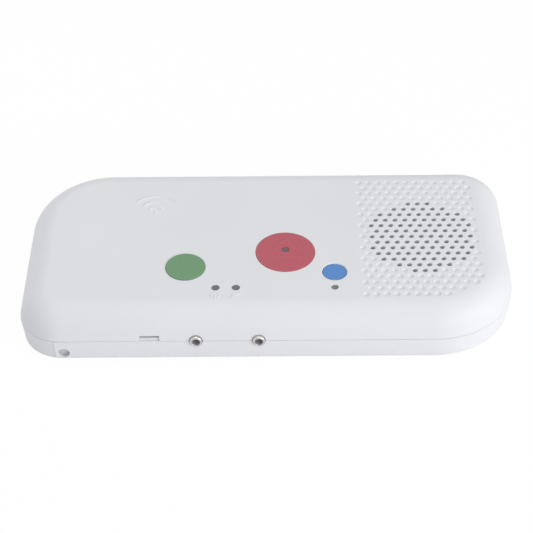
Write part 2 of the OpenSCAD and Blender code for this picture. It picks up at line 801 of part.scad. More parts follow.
module front_marks() {
    translate([wave_x, wave_y, case_h]) {
        translate([0, 0, -bite]) cylinder(d = wave_dot_d, h = bite + mark_h);
        for (i = [0:wave_count - 1])
            arc_ridge(wave_r + i * wave_step, wave_stroke, 90 - wave_half, 90 + wave_half, mark_h);
    }
    translate([power_x, window_y - icon_drop, case_h]) {
        arc_ridge(power_mark_r, icon_stroke, power_mark_open - 90, 270 - power_mark_open, mark_h);
        line_ridge([0, -power_mark_r], [0, power_stem - power_mark_r], icon_stroke, mark_h);
    }
    translate([mute_x, window_y - icon_drop, case_h]) {
        arc_ridge(mute_mark_r, icon_stroke, mute_mark_open, 360 - mute_mark_open, mark_h);
        end = mute_slash * [cos(mute_slope), sin(mute_slope)];
        line_ridge(-end, end, icon_stroke, mark_h);
    }
}

// The tab behind the rear cover's boss that takes the lock screw, cut to end inside the shoulder
module lock_tab() {
    intersection() {
        block(lock_x, lock_tab_y + lock_tab_t / 2, floor_t + bite, [lock_pad_w, lock_tab_t, case_h]);
        translate([lock_x - lock_pad_w / 2, -case_d / 2 + small_corner_r, 0]) mirror([0, 1, 0]) rotate([90, 0, 90])
            linear_extrude(lock_pad_w) front_section(small_corner_r, shoulder_r - wall / 2, floor_t);
    }
}

module front_cover() color(CASE_WHITE) difference() {
    union() {
        front_shell();
        front_marks();
        for (p = BOARD_SCREWS) rod(p, boss_d, board_z1, inner_z + bite);
        for (b = BUTTONS) rod(b, pocket_d(b) + 2 * collar_t, switch_z, inner_z + bite);
        tube(GRILLE_CENTRE, speaker_d + 2 * (speaker_gap + speaker_rib_t), speaker_d + 2 * speaker_gap,
            flange_back_z, inner_z + bite);
        for (p = SPEAKER_SCREWS) difference() {
            rod(GRILLE_CENTRE + p, boss_d, flange_back_z, inner_z + bite);
            rod(GRILLE_CENTRE, speaker_d + 2 * speaker_gap, flange_back_z - over, inner_z);
        }
        snap_ledge(latch_x);
        for (x = [-hook_x, hook_x]) mirror([0, 1, 0]) snap_ledge(x);
        lock_tab();
    }
    for (p = HOLES) rod(p, grille_hole_d, inner_z - over, case_h + over);
    for (p = DIMPLES) translate([p.x, p.y, case_h]) dimple();
    for (p = BOARD_SCREWS) rod(p, pilot_d, board_z1 - over, pilot_end);
    for (p = SPEAKER_SCREWS) rod(GRILLE_CENTRE + p, pilot_d, flange_back_z - over, inner_z + bite);
    for (b = BUTTONS) {
        rod(b, pocket_d(b), switch_z - over, inner_z);
        rod(b, b[2] + 2 * button_gap, inner_z - over, case_h + over);
    }
    for (x = [power_x, mute_x]) rod([x, window_y], window_d, inner_z - over, case_h + over);
    rod([mic_x, mic_y], mic_port_d, inner_z - over, case_h + over);
    for (x = JACKS) bushing_seat(x);
    block(latch_x, -case_d / 2, parting_z - over, [notch_w, 2 * (draft_wall + over), notch_h + over]);
    rod_y(lock_x, lock_z, pilot_d, lock_tab_y - over, lock_tab_y + lock_tab_t + over);
}

module rear_shell() {
    difference() {
        carry_round(0, parting_z) {
            rear_section(small_corner_r, 0, foot_chamfer);
            rear_section(big_corner_r, 0, foot_chamfer);
        }
        carry_round(floor_t, parting_z + over) {
            rear_hollow(small_corner_r);
            rear_hollow(big_corner_r);
        }
    }
}

module rear_hollow(R) {
    slope = rear_draw / parting_z;
    polygon([
        [0, floor_t],
        [R - wall - slope * (parting_z - floor_t), floor_t],
        [R - wall + slope * over, parting_z + over],
        [0, parting_z + over],
    ]);
}

// The boss behind the access hole, which takes the lock screw's head
module lock_boss() {
    y0 = -case_d / 2 + wall;
    y1 = lock_seat_y + lock_wall;
    block(lock_x, (y0 + y1) / 2, floor_t - bite,
        [lock_pad_w, y1 - y0, lock_z + lock_access_d / 2 + lock_wall / 2 - floor_t + bite]);
}

// The pad around the access hole, a little proud of the rear cover's wall
module lock_pad() {
    intersection() {
        block(lock_x, -case_d / 2, 0, [lock_pad_w, wall, parting_z]);
        translate([lock_x - lock_pad_w / 2, -case_d / 2 + small_corner_r - lock_pad_proud, 0]) mirror([0, 1, 0])
            rotate([90, 0, 90]) linear_extrude(lock_pad_w) rear_section(small_corner_r, 0, foot_chamfer);
    }
}

// The tab of the rear cover that fills the lower part of the notch
module latch_tab() {
    block(latch_x, -case_d / 2 + (latch_tab_inset + lip_inset + bite) / 2, parting_z - bite,
        [notch_w - 2 * notch_gap, lip_inset + bite - latch_tab_inset, bite + latch_tab_h]);
}

// A fine moulding seam down the rear cover's wall under a jack
module jack_seam(x) {
    translate([x, -case_d / 2, parting_z]) rotate([atan(rear_draw / parting_z), 0, 0])
        translate([-seam_w / 2, -seam_depth, -2 * parting_z]) cube([seam_w, 2 * seam_depth, 2 * parting_z]);
}

module rear_cover() color(CASE_WHITE) difference() {
    union() {
        rear_shell();
        translate([0, 0, parting_z - lip_root]) linear_extrude(lip_root) difference() {
            outline(wall - bite);
            outline(lip_inset + lip_t);
        }
        translate([0, 0, parting_z - bite]) linear_extrude(lip_h + bite) difference() {
            outline(lip_inset);
            outline(lip_inset + lip_t);
        }
        snap_tongue(latch_x);
        for (x = [-hook_x, hook_x]) mirror([0, 1, 0]) snap_tongue(x);
        lock_boss();
        lock_pad();
        latch_tab();
    }
    for (x = JACKS) bushing_seat(x);
    rod_y(lock_x, lock_z, lock_access_d, -case_d / 2 - over, lock_seat_y);
    rod_y(lock_x, lock_z, shank_d + 2 * cover_gap, lock_seat_y - over, lock_tab_y);
    for (x = JACKS) jack_seam(x);
    translate([0, cable_y, -over]) linear_extrude(floor_t + 2 * over) rounded_rect(cable_w, cable_d, cable_r);
    for (x = [-slot_pitch / 2, slot_pitch / 2])
        translate([x, cable_y, -over]) linear_extrude(floor_t + 2 * over) rounded_slot();
    for (sx = [-1, 1], sy = [-1, 1])
        rod([sx * wall_hole_x / 2, sy * wall_hole_y / 2], wall_hole_d, -over, floor_t + over);
}

module rounded_slot() {
    square([slot_l - slot_w, slot_w], center = true);
    for (s = [-1, 1]) translate([s * (slot_l - slot_w) / 2, 0]) circle(d = slot_w);
}

// Boards and their components

module main_board() color(BOARD_GREEN) difference() {
    translate([board_x0, board_y0, board_z0]) cube([board_x1 - board_x0, board_y1 - board_y0, board_t]);
    for (p = BOARD_SCREWS) rod(p, shank_d + 2 * cover_gap, board_z0 - over, board_z1 + over);
}

module board_screws() color(STEEL) for (p = BOARD_SCREWS)
    translate([p.x, p.y, board_z0]) pan_screw(pilot_end - board_z0 - bite, head_d, head_h);

module card_reader_board() color(BOARD_GREEN)
    block(wave_x, (reader_y0 + reader_y1) / 2, inner_z - reader_t, [reader_w, reader_y1 - reader_y0, reader_t]);

module board_connector() color(BLACK)
    block(wave_x, reader_y1 - header_w, board_z1, [header_l, header_w, inner_z - reader_t - board_z1]);

module processor() color(BLACK)
    block(processor_x, logic_y, board_z1, [processor_w, processor_w, processor_h]);

module radio_module() color(STEEL)
    block(radio_x, logic_y, board_z1, [radio_w, radio_l, radio_h]);

module audio_amplifier() color(BLACK)
    block(board_x1 - amplifier_inset, amplifier_y, board_z1, [amplifier_w, amplifier_w, amplifier_h]);

module capacitors() color(STEEL) for (i = [0:capacitor_count - 1])
    rod([power_parts_x, board_y0 + capacitor_low + i * capacitor_pitch], capacitor_d, board_z1, board_z1 + capacitor_h);

module power_inductor() color(BLACK)
    block(power_parts_x, board_y0 + inductor_low, board_z1, [inductor_w, inductor_w, inductor_h]);

module status_lights() color("white") for (p = [[power_x, window_y], [mute_x, window_y], LENS])
    block(p.x, p.y, board_z1, [led_w, led_w, led_h]);

// A window in the face that pipes the light of the status light below it
module status_window(x) color("#5c5c60") {
    rod([x, window_y], window_d - 2 * fit_gap, board_z1 + led_h + led_gap, case_h - window_sink);
    rod([x, window_y], window_d + 2 * window_lip, inner_z - window_t, inner_z);
}

module power_window() status_window(power_x);

module mute_window() status_window(mute_x);

module microphone() color(STEEL)
    block(mic_x, mic_y, board_z1, [mic_l, mic_w, mic_h]);

module microphone_sleeve() color(BLACK)
    tube([mic_x, mic_y], sleeve_d, sleeve_bore, board_z1 + mic_h, inner_z - gauze_t);

// A gauze pressed into a cup that stands in the microphone's port
module microphone_gauze() color("#5a5a5e") difference() {
    cup_d = mic_port_d - 2 * fit_gap;
    cup_z = case_h - gauze_sink;
    union() {
        rod([mic_x, mic_y], sleeve_d, inner_z - gauze_t, inner_z);
        rod([mic_x, mic_y], cup_d, inner_z - gauze_t, cup_z);
    }
    rod([mic_x, mic_y], cup_d - 2 * gauze_t, inner_z - gauze_t - over, cup_z - gauze_t);
}

// Loudspeaker

module at_speaker() {
    translate([grille_x, grille_y, 0]) children();
}

module speaker_frame() color(STEEL) at_speaker() difference() {
    rotate_extrude() polygon([
        [speaker_r, gasket_z],
        [cone_r, gasket_z],
        [magnet_d / 2 + frame_t, plate_z1],
        [neck_r, plate_z1],
        [neck_r, magnet_z1],
        [magnet_d / 2 + 2 * frame_t, magnet_z1],
        [cone_r + frame_t, flange_back_z],
        [speaker_r, flange_back_z],
    ]);
    for (a = [0:90:270]) rotate([0, 0, a])
        translate([magnet_d / 2 + 3 * frame_t, -frame_window / 2, plate_z1 + frame_t])
            cube([cone_r, frame_window, flange_back_z - plate_z1 - 2 * frame_t]);
}

module speaker_magnet() color(BLACK) at_speaker() {
    rod([0, 0], magnet_d, magnet_z0, magnet_z1);
    rod([0, 0], pole_d, magnet_z1 - bite, magnet_z1 + pole_h);
}

module speaker_cone() color("#4a4a4c") at_speaker() rotate_extrude() polygon([
    [cone_r + speaker_gap, gasket_z],
    [cone_r + speaker_gap, gasket_z + cone_t],
    [cone_edge_r, gasket_z + cone_t],
    [coil_r, cone_z],
    [coil_r, plate_z1 + bite],
    [coil_r + cone_t, plate_z1 + bite],
    [coil_r + cone_t, cone_z - cone_t],
    [cone_edge_r, gasket_z],
]);

module speaker_dust_cap() color(BLACK) at_speaker() {
    r = dust_cap_d / 2;
    dome_r = (r * r + dust_cap_h * dust_cap_h) / (2 * dust_cap_h);
    base_z = cone_z + cone_slope * (r - coil_r) + fit_gap;
    rotate_extrude() intersection() {
        translate([0, base_z + dust_cap_h - dome_r]) difference() {
            circle(dome_r);
            circle(dome_r - cone_t);
        }
        translate([0, base_z]) square([dome_r, dust_cap_h]);
    }
}

module speaker_gasket() color(BLACK)
    tube(GRILLE_CENTRE, speaker_d, 2 * (cone_r + 2 * speaker_gap), gasket_z, cloth_z);

module grille_cloth() color("#5a5a5e") rod(GRILLE_CENTRE, speaker_d, cloth_z, inner_z);

module speaker_screws() color(STEEL) for (p = SPEAKER_SCREWS)
    translate([grille_x + p.x, grille_y + p.y, flange_back_z])
        pan_screw(inner_z - flange_back_z, washer_d, washer_t);

module speaker_terminal() color("#7a5a35")
    block(grille_x - (speaker_r + cone_r + 2 * frame_t) / 2, grille_y, flange_back_z - tag_t,
        [speaker_r - cone_r - 2 * frame_t, tag_w, tag_t]);

module speaker_lead() color("#a03028") {
    x = grille_x - speaker_r + lead_d;
    z = board_z0 - plug_h / 2;
    plug_x = board_x1 - plug_inset;
    for (s = [-1, 1]) {
        y = grille_y + s * lead_pitch / 2;
        rod([x, y], lead_d, z + lead_bend, flange_back_z - tag_t);
        translate([x - lead_bend, y, z + lead_bend]) rotate([90, 0, 0]) rotate([0, 0, 270])
            rotate_extrude(angle = 90) translate([lead_bend, 0]) circle(d = lead_d);
        translate([plug_x, y, z]) rotate([0, 90, 0]) cylinder(d = lead_d, h = x - lead_bend - plug_x);
    }
}

module speaker_plug() color("#e8e4d8")
    block(board_x1 - plug_inset - plug_l / 2, grille_y, board_z0 - plug_h, [plug_l, tag_w, plug_h]);

// Switches and buttons

module push_switch(p) difference() {
    block(p.x, p.y, board_z1, [switch_w, switch_w, switch_h]);
    rod(p, stem_d + 2 * button_gap, stem_root - travel - button_gap, switch_z + over);
}

module switch_stem(p) rod(p, stem_d, stem_root, stem_z);

module call_switches() color(BLACK) for (p = CALL_SWITCHES) push_switch(p);

module presence_switch() color(BLACK) push_switch([presence_x, presence_y]);

module alarm_switch() color(BLACK) push_switch([alarm_x, alarm_y]);

// A button's cap: crown with a rounded rim, skirt and flange, and posts on its switches
module button_cap(b, top, posts) {
    r = b[2] / 2;
    under = top - cap_t;
    flange_r = r + button_gap + flange_lip;
    translate([b.x, b.y, 0]) rotate_extrude() {
        polygon([
            [0, under],
            [r - cap_t, under],
            [r - cap_t, flange_z0],
            [flange_r, flange_z0],
            [flange_r, flange_z1],
            [r, flange_z1],
            [r, top - rim_r],
            [r - rim_r, top],
            [0, top],
        ]);
        sector([r - rim_r, top - rim_r], rim_r, 0, 90);
    }
    for (p = posts) rod(p, post_d, stem_z, under + bite);
}

module call_symbol() {
    r = triangle_side / sqrt(3);
    translate([call_x, call_y + triangle_up, call_z - bite])
        linear_extrude(bite + cap_mark_h) rotate([0, 0, 90]) difference() {
            circle(r, $fn = 3);
            circle(r - 2 * triangle_stroke, $fn = 3);
        }
    for (step = [0, call_wave_step]) translate([LENS.x, LENS.y, call_z])
        arc_ridge(call_wave_r + step, call_wave_stroke, call_wave_from, call_wave_to, cap_mark_h);
}

module call_cap() color("#b6606b") difference() {
    union() {
        button_cap(BUTTONS[0], call_z, CALL_SWITCHES);
        call_symbol();
    }
    rod(LENS, lens_d, flange_z0, call_z + over);
}

module call_lens() color("#5c5c60") {
    rod(LENS, lens_d - 2 * fit_gap, call_z - cap_t - window_t, call_z - window_sink);
    rod(LENS, lens_d + 2 * window_lip, call_z - cap_t - window_t, call_z - cap_t);
}

module call_stems() color("#d8d4c8") for (p = CALL_SWITCHES) switch_stem(p);

module presence_cap() color("#72997a") {
    button_cap(BUTTONS[1], presence_z, [[presence_x, presence_y]]);
    translate([presence_x, presence_y + presence_ring_up, presence_z])
        arc_ridge((presence_ring_d - presence_ring_stroke) / 2, presence_ring_stroke, 0, 360, cap_mark_h);
}

module presence_stem() color("#d8d4c8") switch_stem([presence_x, presence_y]);

module alarm_cap() color("#628dc6")
    button_cap(BUTTONS[2], alarm_z, [[alarm_x, alarm_y]]);

module alarm_stem() color("#d8d4c8") switch_stem([alarm_x, alarm_y]);

// Jacks and wiring

module jack_body(x) color(BLACK) difference() {
    translate([x - jack_w / 2, jack_y, parting_z - jack_axis_h]) cube([jack_w, jack_l, 2 * jack_axis_h]);
    rod_y(x, parting_z, jack_well_d, jack_y - over, jack_y + jack_l - jack_end);
}

module jack_bushing(x) color("#cfcac2") {
    length = jack_inset + bushing_proud;
    r = bushing_d / 2;
    translate([x, jack_y, parting_z]) rotate([90, 0, 0]) rotate_extrude() {
        polygon([
            [jack_bore_d / 2, 0],
            [r, 0],
            [r, length - bushing_lip],
            [r - bushing_lip, length],
            [jack_bore_d / 2, length],
        ]);
        sector([r - bushing_lip, length - bushing_lip], bushing_lip, 0, 90);
    }
}

module left_jack_body() jack_body(JACKS[0]);

module right_jack_body() jack_body(JACKS[1]);

module left_jack_bushing() jack_bushing(JACKS[0]);

module right_jack_bushing() jack_bushing(JACKS[1]);

module network_socket() color(BLACK) difference() {
    block(socket_x, wiring_y + socket_l / 2, board_z0 - socket_h, [socket_w, socket_l, socket_h]);
    block(socket_x, wiring_y + (port_l - over) / 2, board_z0 - socket_h + port_wall, [port_w, port_l + over, port_h]);
}

module network_contacts() color("#c9a24a") for (i = [0:contact_count - 1])
    block(socket_x + (i - (contact_count - 1) / 2) * contact_pitch, wiring_y + port_l - contact_l / 2,
        board_z0 - socket_h + port_wall + port_h - contact_t, [contact_t, contact_l, contact_t]);

function terminal_at(i) = terminal_x + (i - (terminal_count - 1) / 2) * terminal_pitch;

module terminal_block() color("#3c7a55") difference() {
    block(terminal_x, wiring_y + terminal_l / 2, board_z0 - terminal_h,
        [terminal_count * terminal_pitch, terminal_l, terminal_h]);
    for (i = [0:terminal_count - 1]) {
        rod([terminal_at(i), wiring_y + terminal_l / 2], terminal_screw_d + 2 * fit_gap,
            board_z0 - terminal_h - over, board_z0 - terminal_h + terminal_h / 2);
        block(terminal_at(i), wiring_y, board_z0 - terminal_h / 2 - terminal_entry / 2,
            [terminal_entry, terminal_l, terminal_entry]);
    }
}

module terminal_screws() color(STEEL) for (i = [0:terminal_count - 1])
    translate([terminal_at(i), wiring_y + terminal_l / 2, board_z0 - terminal_h + bite]) difference() {
        cylinder(d = terminal_screw_d, h = terminal_screw_l);
        translate([-terminal_screw_d, -drive_w / 2, -over]) cube([2 * terminal_screw_d, drive_w, over + drive_h]);
    }

module lock_screw() color(STEEL) translate([lock_x, lock_seat_y, lock_z]) rotate([-90, 0, 0])
    pan_screw(lock_wall + cover_gap + lock_tab_t, head_d, head_h);

front_cover();
rear_cover();
main_board();
board_screws();
card_reader_board();
board_connector();
processor();
radio_module();
audio_amplifier();
capacitors();
power_inductor();
speaker_frame();
speaker_magnet();
speaker_cone();
speaker_dust_cap();
speaker_gasket();
grille_cloth();
speaker_screws();
speaker_terminal();
speaker_lead();
speaker_plug();
call_switches();
presence_switch();
alarm_switch();
status_lights();
power_window();
mute_window();
microphone();
microphone_sleeve();
microphone_gauze();
left_jack_body();
right_jack_body();
left_jack_bushing();
right_jack_bushing();
network_socket();
network_contacts();
terminal_block();
terminal_screws();
lock_screw();
call_cap();
call_lens();
call_stems();
presence_cap();
presence_stem();
alarm_cap();
alarm_stem();
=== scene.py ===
"""Looks of the nurse call room terminal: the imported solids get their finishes, and the pieces that
show most are modelled again with the soft edges of moulded plastic and plated metal."""

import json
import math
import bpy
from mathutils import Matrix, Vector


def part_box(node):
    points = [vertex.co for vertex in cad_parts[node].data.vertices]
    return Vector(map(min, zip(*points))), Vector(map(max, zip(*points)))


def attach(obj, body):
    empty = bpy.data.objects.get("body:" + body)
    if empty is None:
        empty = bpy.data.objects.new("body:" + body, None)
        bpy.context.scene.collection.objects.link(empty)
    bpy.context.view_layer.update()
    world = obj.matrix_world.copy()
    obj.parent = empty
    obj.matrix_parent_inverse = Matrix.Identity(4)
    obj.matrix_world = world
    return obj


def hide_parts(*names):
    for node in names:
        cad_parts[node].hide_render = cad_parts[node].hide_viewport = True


bl_info = {
    "name": "Nurse Call Room Terminal",
    "version": (1, 0, 0),
    "blender": (4, 5, 0),
    "location": "View3D > Sidebar > Terminal",
    "description": "Models the visible pieces of a nurse call room terminal on its packed solids",
    "category": "Object",
}

import bmesh
import bpy
from mathutils import Matrix, Vector

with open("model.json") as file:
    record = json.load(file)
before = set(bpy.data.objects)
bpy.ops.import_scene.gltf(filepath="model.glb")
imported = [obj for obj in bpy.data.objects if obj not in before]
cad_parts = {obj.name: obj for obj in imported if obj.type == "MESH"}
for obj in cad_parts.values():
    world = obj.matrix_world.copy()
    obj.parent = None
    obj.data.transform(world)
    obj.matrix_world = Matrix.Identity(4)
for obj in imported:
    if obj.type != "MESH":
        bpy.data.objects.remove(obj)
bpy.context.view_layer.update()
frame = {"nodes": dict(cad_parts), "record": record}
MM = 0.001
# Distance between the bands of a wave texture whose scale is 1
BAND_PERIOD = 0.31
WINDOWS = ("power_window", "mute_window")
JACKS = ("left_jack_bushing", "right_jack_bushing")


# Shader expressions


class Value:
    """A socket in a shader tree. Arithmetic on it adds Math nodes."""

    def __init__(self, nodes, socket):
        self.nodes = nodes
        self.socket = socket

    def maths(self, operation, *others):
        return self.nodes.node("ShaderNodeMath", {"operation": operation}, dict(enumerate((self, *others))))

    def __add__(self, other):
        return self.maths("ADD", other)

    __radd__ = __add__

    def __sub__(self, other):
        return self.maths("SUBTRACT", other)

    def __rsub__(self, other):
        return self.nodes.node("ShaderNodeMath", {"operation": "SUBTRACT"}, {0: other, 1: self})

    def __mul__(self, other):
        return self.maths("MULTIPLY", other)

    __rmul__ = __mul__

    def __gt__(self, other):
        return self.maths("GREATER_THAN", other)


class Tree:
    """A shader tree and the nodes that are added to it."""

    def __init__(self, tree):
        self.tree = tree

    def node(self, kind, settings=None, inputs=None, output=0):
        """Adds a node with its settings first, then the values or links of its sockets."""
        made = self.tree.nodes.new(kind)
        for key, value in (settings or {}).items():
            setattr(made, key, value)
        for key, value in (inputs or {}).items():
            self.feed(made.inputs[key], value)
        return Value(self, made.outputs[output])

    def feed(self, socket, value):
        """Links a value to a socket, or sets the socket's own value."""
        if isinstance(value, Value):
            self.tree.links.new(value.socket, socket)
        elif socket.type == "RGBA":
            socket.default_value = (*value, 1.0)
        else:
            socket.default_value = value


class Finish(Tree):
    """A material in the making: one Principled shader and the nodes that feed it."""

    def __init__(self, name):
        self.material = bpy.data.materials.new(name)
        self.material.use_nodes = True
        super().__init__(self.material.node_tree)
        self.shader = self.tree.nodes["Principled BSDF"]
        self.place = None

    def set(self, **sockets):
        """Sets or links sockets of the Principled shader, with underscores for spaces."""
        for key, value in sockets.items():
            self.feed(self.shader.inputs[key.replace("_", " ")], value)

    def where(self):
        """The point on the piece, in metres."""
        if self.place is None:
            self.place = self.node("ShaderNodeTexCoord", output="Object")
        return self.place

    def parts(self):
        """The point's three coordinates."""
        split = self.tree.nodes.new("ShaderNodeSeparateXYZ")
        self.feed(split.inputs[0], self.where())
        return [Value(self, output) for output in split.outputs]

    def noise(self, size, detail=2.0, roughness=0.5):
        """Noise whose features are about size metres across."""
        inputs = {"Vector": self.where(), "Scale": 1.0 / size, "Detail": detail, "Roughness": roughness}
        return self.node("ShaderNodeTexNoise", inputs=inputs)

    def rub(self):
        """Faint rub marks, as on metal that was handled."""
        return self.noise(0.6 * MM, 4.0, 0.7)

    def cells(self, size):
        """Distance to the nearest of scattered points, about size metres apart."""
        return self.node("ShaderNodeTexVoronoi", inputs={"Vector": self.where(), "Scale": 1.0 / size})

    def bands(self, way, width):
        """Slightly wavy bands across an axis, about width metres apart."""
        settings = {"wave_type": "BANDS", "bands_direction": way}
        scale = BAND_PERIOD / width
        return self.node("ShaderNodeTexWave", settings,
                         {"Vector": self.where(), "Scale": scale, "Distortion": 0.6})

    def blend(self, factor, first, second):
        """Colour between two others."""
        settings = {"data_type": "RGBA", "clamp_factor": True}
        return self.node("ShaderNodeMix", settings, {0: factor, 6: first, 7: second}, output=2)

    def bump(self, height, distance):
        """Normal from a height in metres times distance."""
        return self.node("ShaderNodeBump", inputs={"Distance": distance, "Height": height})


def shade(colour, factor):
    """A colour made lighter or darker."""
    return tuple(min(1.0, c * factor) for c in colour)


def moulded(f, colour, roughness=0.55, depth=0.004 * MM, gloss=0.3):
    """Moulded plastic: fine spark grain, slight flow marks in the colour and in the gloss."""
    flow = f.noise(30 * MM, 3.0)
    speckle = f.noise(0.25 * MM, 2.0)
    f.set(
        Base_Color=f.blend(flow, shade(colour, 0.98), shade(colour, 1.02)),
        Roughness=roughness - 0.06 + 0.12 * f.noise(6 * MM, 4.0),
        Normal=f.bump(speckle, depth),
        Specular_IOR_Level=gloss,
    )


def plated(f, colour):
    """Plated or bare metal with faint rub marks."""
    rub = f.rub()
    tarnish = f.noise(4 * MM, 3.0)
    f.set(
        Base_Color=f.blend(tarnish, shade(colour, 0.88), shade(colour, 1.06)),
        Metallic=1.0,
        Roughness=0.17 + 0.18 * rub,
        Normal=f.bump(rub, 0.004 * MM),
    )


def woven(f, colour, thread=0.35 * MM):
    """Fine cloth or pressed fibre."""
    weave = f.bands("X", thread) * f.bands("Y", thread)
    f.set(
        Base_Color=f.blend(weave, shade(colour, 0.5), shade(colour, 1.5)),
        Roughness=0.9,
        Normal=f.bump(weave, 0.05 * MM),
    )


def gauze(f, colour):
    """Fine wire or thread cloth, its colour made lighter as painted light between its threads."""
    # Painted light: the gauze's colour is made 1.4 times lighter
    woven(f, shade(colour, 1.4), 0.22 * MM)


def satin(f, colour):
    """Moulded button plastic, a little glossier than the case."""
    moulded(f, colour, roughness=0.4, depth=0.002 * MM, gloss=0.5)


def socketed(f, colour):
    """Nickel plate, with painted shade in the bores of both jacks: a dark grey that is not metal."""
    left, right = map(middle, JACKS)
    x, _, z = f.parts()
    aside = (x - (left.x + right.x) / 2).maths("ABSOLUTE") - (right.x - left.x) / 2
    up = z - left.z
    bore = bpy.context.scene.terminal_buttons.bore / 2 + 0.05 * MM
    # Painted shade: everything within the bore's radius of the jacks' axis turns dark grey and not metal
    bore_shade = 1.0 - ((aside * aside + up * up) * 1e6 > (bore / MM) ** 2)
    rub = f.rub()
    plate = f.blend(rub, shade(colour, 0.75), shade(colour, 0.95))
    f.set(
        # The dark grey of the painted shade in the bores
        Base_Color=f.blend(bore_shade, plate, (0.42, 0.39, 0.43)),
        Metallic=1.0 - bore_shade,
        Roughness=0.2 + 0.12 * rub + 0.25 * bore_shade,
        Normal=f.bump(rub, 0.003 * MM),
    )


def soldered(f, colour):
    """Circuit board: tracks under the resist, pads and fibre grain."""
    lanes = f.cells(3.2 * MM)
    tracks = (f.noise(5 * MM, 0.0) * 9.0).maths("FRACT") > 0.62
    pads = 1.0 - (lanes > 0.16)
    copper = f.blend(tracks, colour, shade(colour, 1.9))
    f.set(
        Base_Color=f.blend(pads, copper, (0.62, 0.6, 0.55)),
        Metallic=pads * 0.8,
        Roughness=0.34 + 0.1 * f.noise(1 * MM),
        Normal=f.bump(tracks + pads, 0.03 * MM),
    )


def smoked(f, colour):
    """Smoked clear plastic over a dark light pipe."""
    cloud = f.noise(1.5 * MM, 2.0)
    f.set(
        Base_Color=f.blend(cloud, shade(colour, 0.85), shade(colour, 1.2)),
        Roughness=0.16 + 0.08 * cloud,
        IOR=1.5,
        Coat_Weight=0.4,
    )


def rubbery(f, colour):
    """Soft rubber, foam or lead jacket."""
    pores = f.noise(0.4 * MM, 3.0)
    f.set(
        Base_Color=f.blend(pores, shade(colour, 0.75), shade(colour, 1.3)),
        Roughness=0.7 + 0.2 * pores,
        Normal=f.bump(pores, 0.02 * MM),
    )


MAKERS = {
    "circuit_board": soldered,
    "smoked_window": smoked,
    "cone_paper": woven,
    "grille_cloth": woven,
    "black_foam": rubbery,
    "black_rubber": rubbery,
    "lead_jacket": rubbery,
    "zinc_steel": plated,
    "tinned_can": plated,
    "aluminium_can": plated,
    "jack_nickel": socketed,
    "button_red": satin,
    "button_green": satin,
    "button_blue": satin,
    "port_gauze": gauze,
    "gilt_contact": plated,
}


def slot_of(node):
    """The material slot that the record gives a node."""
    return next(s["material_slot"] for s in frame["record"]["subparts"] if s["node"] == node)


def colour_of(slot):
    """The colour that the record gives a material slot."""
    return tuple(next(m["base_color"] for m in frame["record"]["materials"] if m["slot"] == slot)[:3])


def made(name, maker, colour, **settings):
    """A material with the nodes that its maker adds."""
    f = Finish(name)
    maker(f, colour, **settings)
    return f.material


def finish_for(slot):
    """The material of a slot, made on first use."""
    name = "terminal_" + slot
    return bpy.data.materials.get(name) or made(name, MAKERS.get(slot, moulded), colour_of(slot))


# Properties


def length(name, description, millimetres):
    """A size in millimetres, as a property in metres."""
    return bpy.props.FloatProperty(
        name=name, description=description, default=millimetres * MM, min=0.0, precision=5, unit="LENGTH",
    )


def angle(name, description, degrees):
    """An angle in degrees, as a property."""
    return bpy.props.FloatProperty(
        name=name, description=description, default=math.radians(degrees), subtype="ANGLE",
    )


def power(name, description, watts):
    """A lamp's power, as a property."""
    return bpy.props.FloatProperty(name=name, description=description, default=watts, min=0.0, unit="POWER")


class TerminalCase(bpy.types.PropertyGroup):
    """Sizes of both covers."""

    width: length("Width", "Width of the case at its parting line", 221.98)
    depth: length("Height", "Height of the case on the wall", 106.98)
    face: length("Face", "Distance of the face from the wall", 25)
    parting: length("Parting line", "Distance of the parting line from the wall", 11)
    wide_corner: length("Wide corner", "Corner radius at the upper left and lower right", 37.4)
    tight_corner: length("Tight corner", "Corner radius at the upper right and lower left", 19.8)
    shoulder: length("Shoulder", "Radius between the side wall and the face", 12.3)
    draft: angle("Draft", "Lean of the front cover's side wall", 12.5)
    wall: length("Wall", "Wall of both covers", 2.2)
    floor: length("Floor", "Floor of the rear cover", 2)
    notch_width: length("Notch", "Width of the release notch", 9.1)
    notch_height: length("Notch height", "Height of the release notch", 2.8)
    notch_x: length("Notch place", "Distance of the release notch from the case's left edge", 58.7)
    pad_width: length("Pad", "Width of the pad around the lock screw's hole", 7.4)
    lock_hole: length("Lock hole", "Width of the lock screw's access hole", 5.2)
    back_rise: length("Back", "Height of the cable opening's middle over the case's", 8)
    cable_width: length("Cable", "Width of the cable opening", 46)
    cable_depth: length("Cable height", "Height of the cable opening", 30)
    cable_corner: length("Cable corner", "Corner radius of the cable opening", 4)
    slot_x: length("Slot place", "Distance of a wiring box slot from the middle", 30)
    slot_length: length("Slot length", "Length of a wiring box slot", 8)
    slot_width: length("Slot", "Width of a wiring box slot", 4.4)
    wall_hole: length("Wall hole", "Width of a wall hole", 4.5)
    wall_hole_x: length("Wall hole x", "Distance of a wall hole from the middle, across", 88)
    wall_hole_y: length("Wall hole y", "Distance of a wall hole from the middle, upwards", 34)


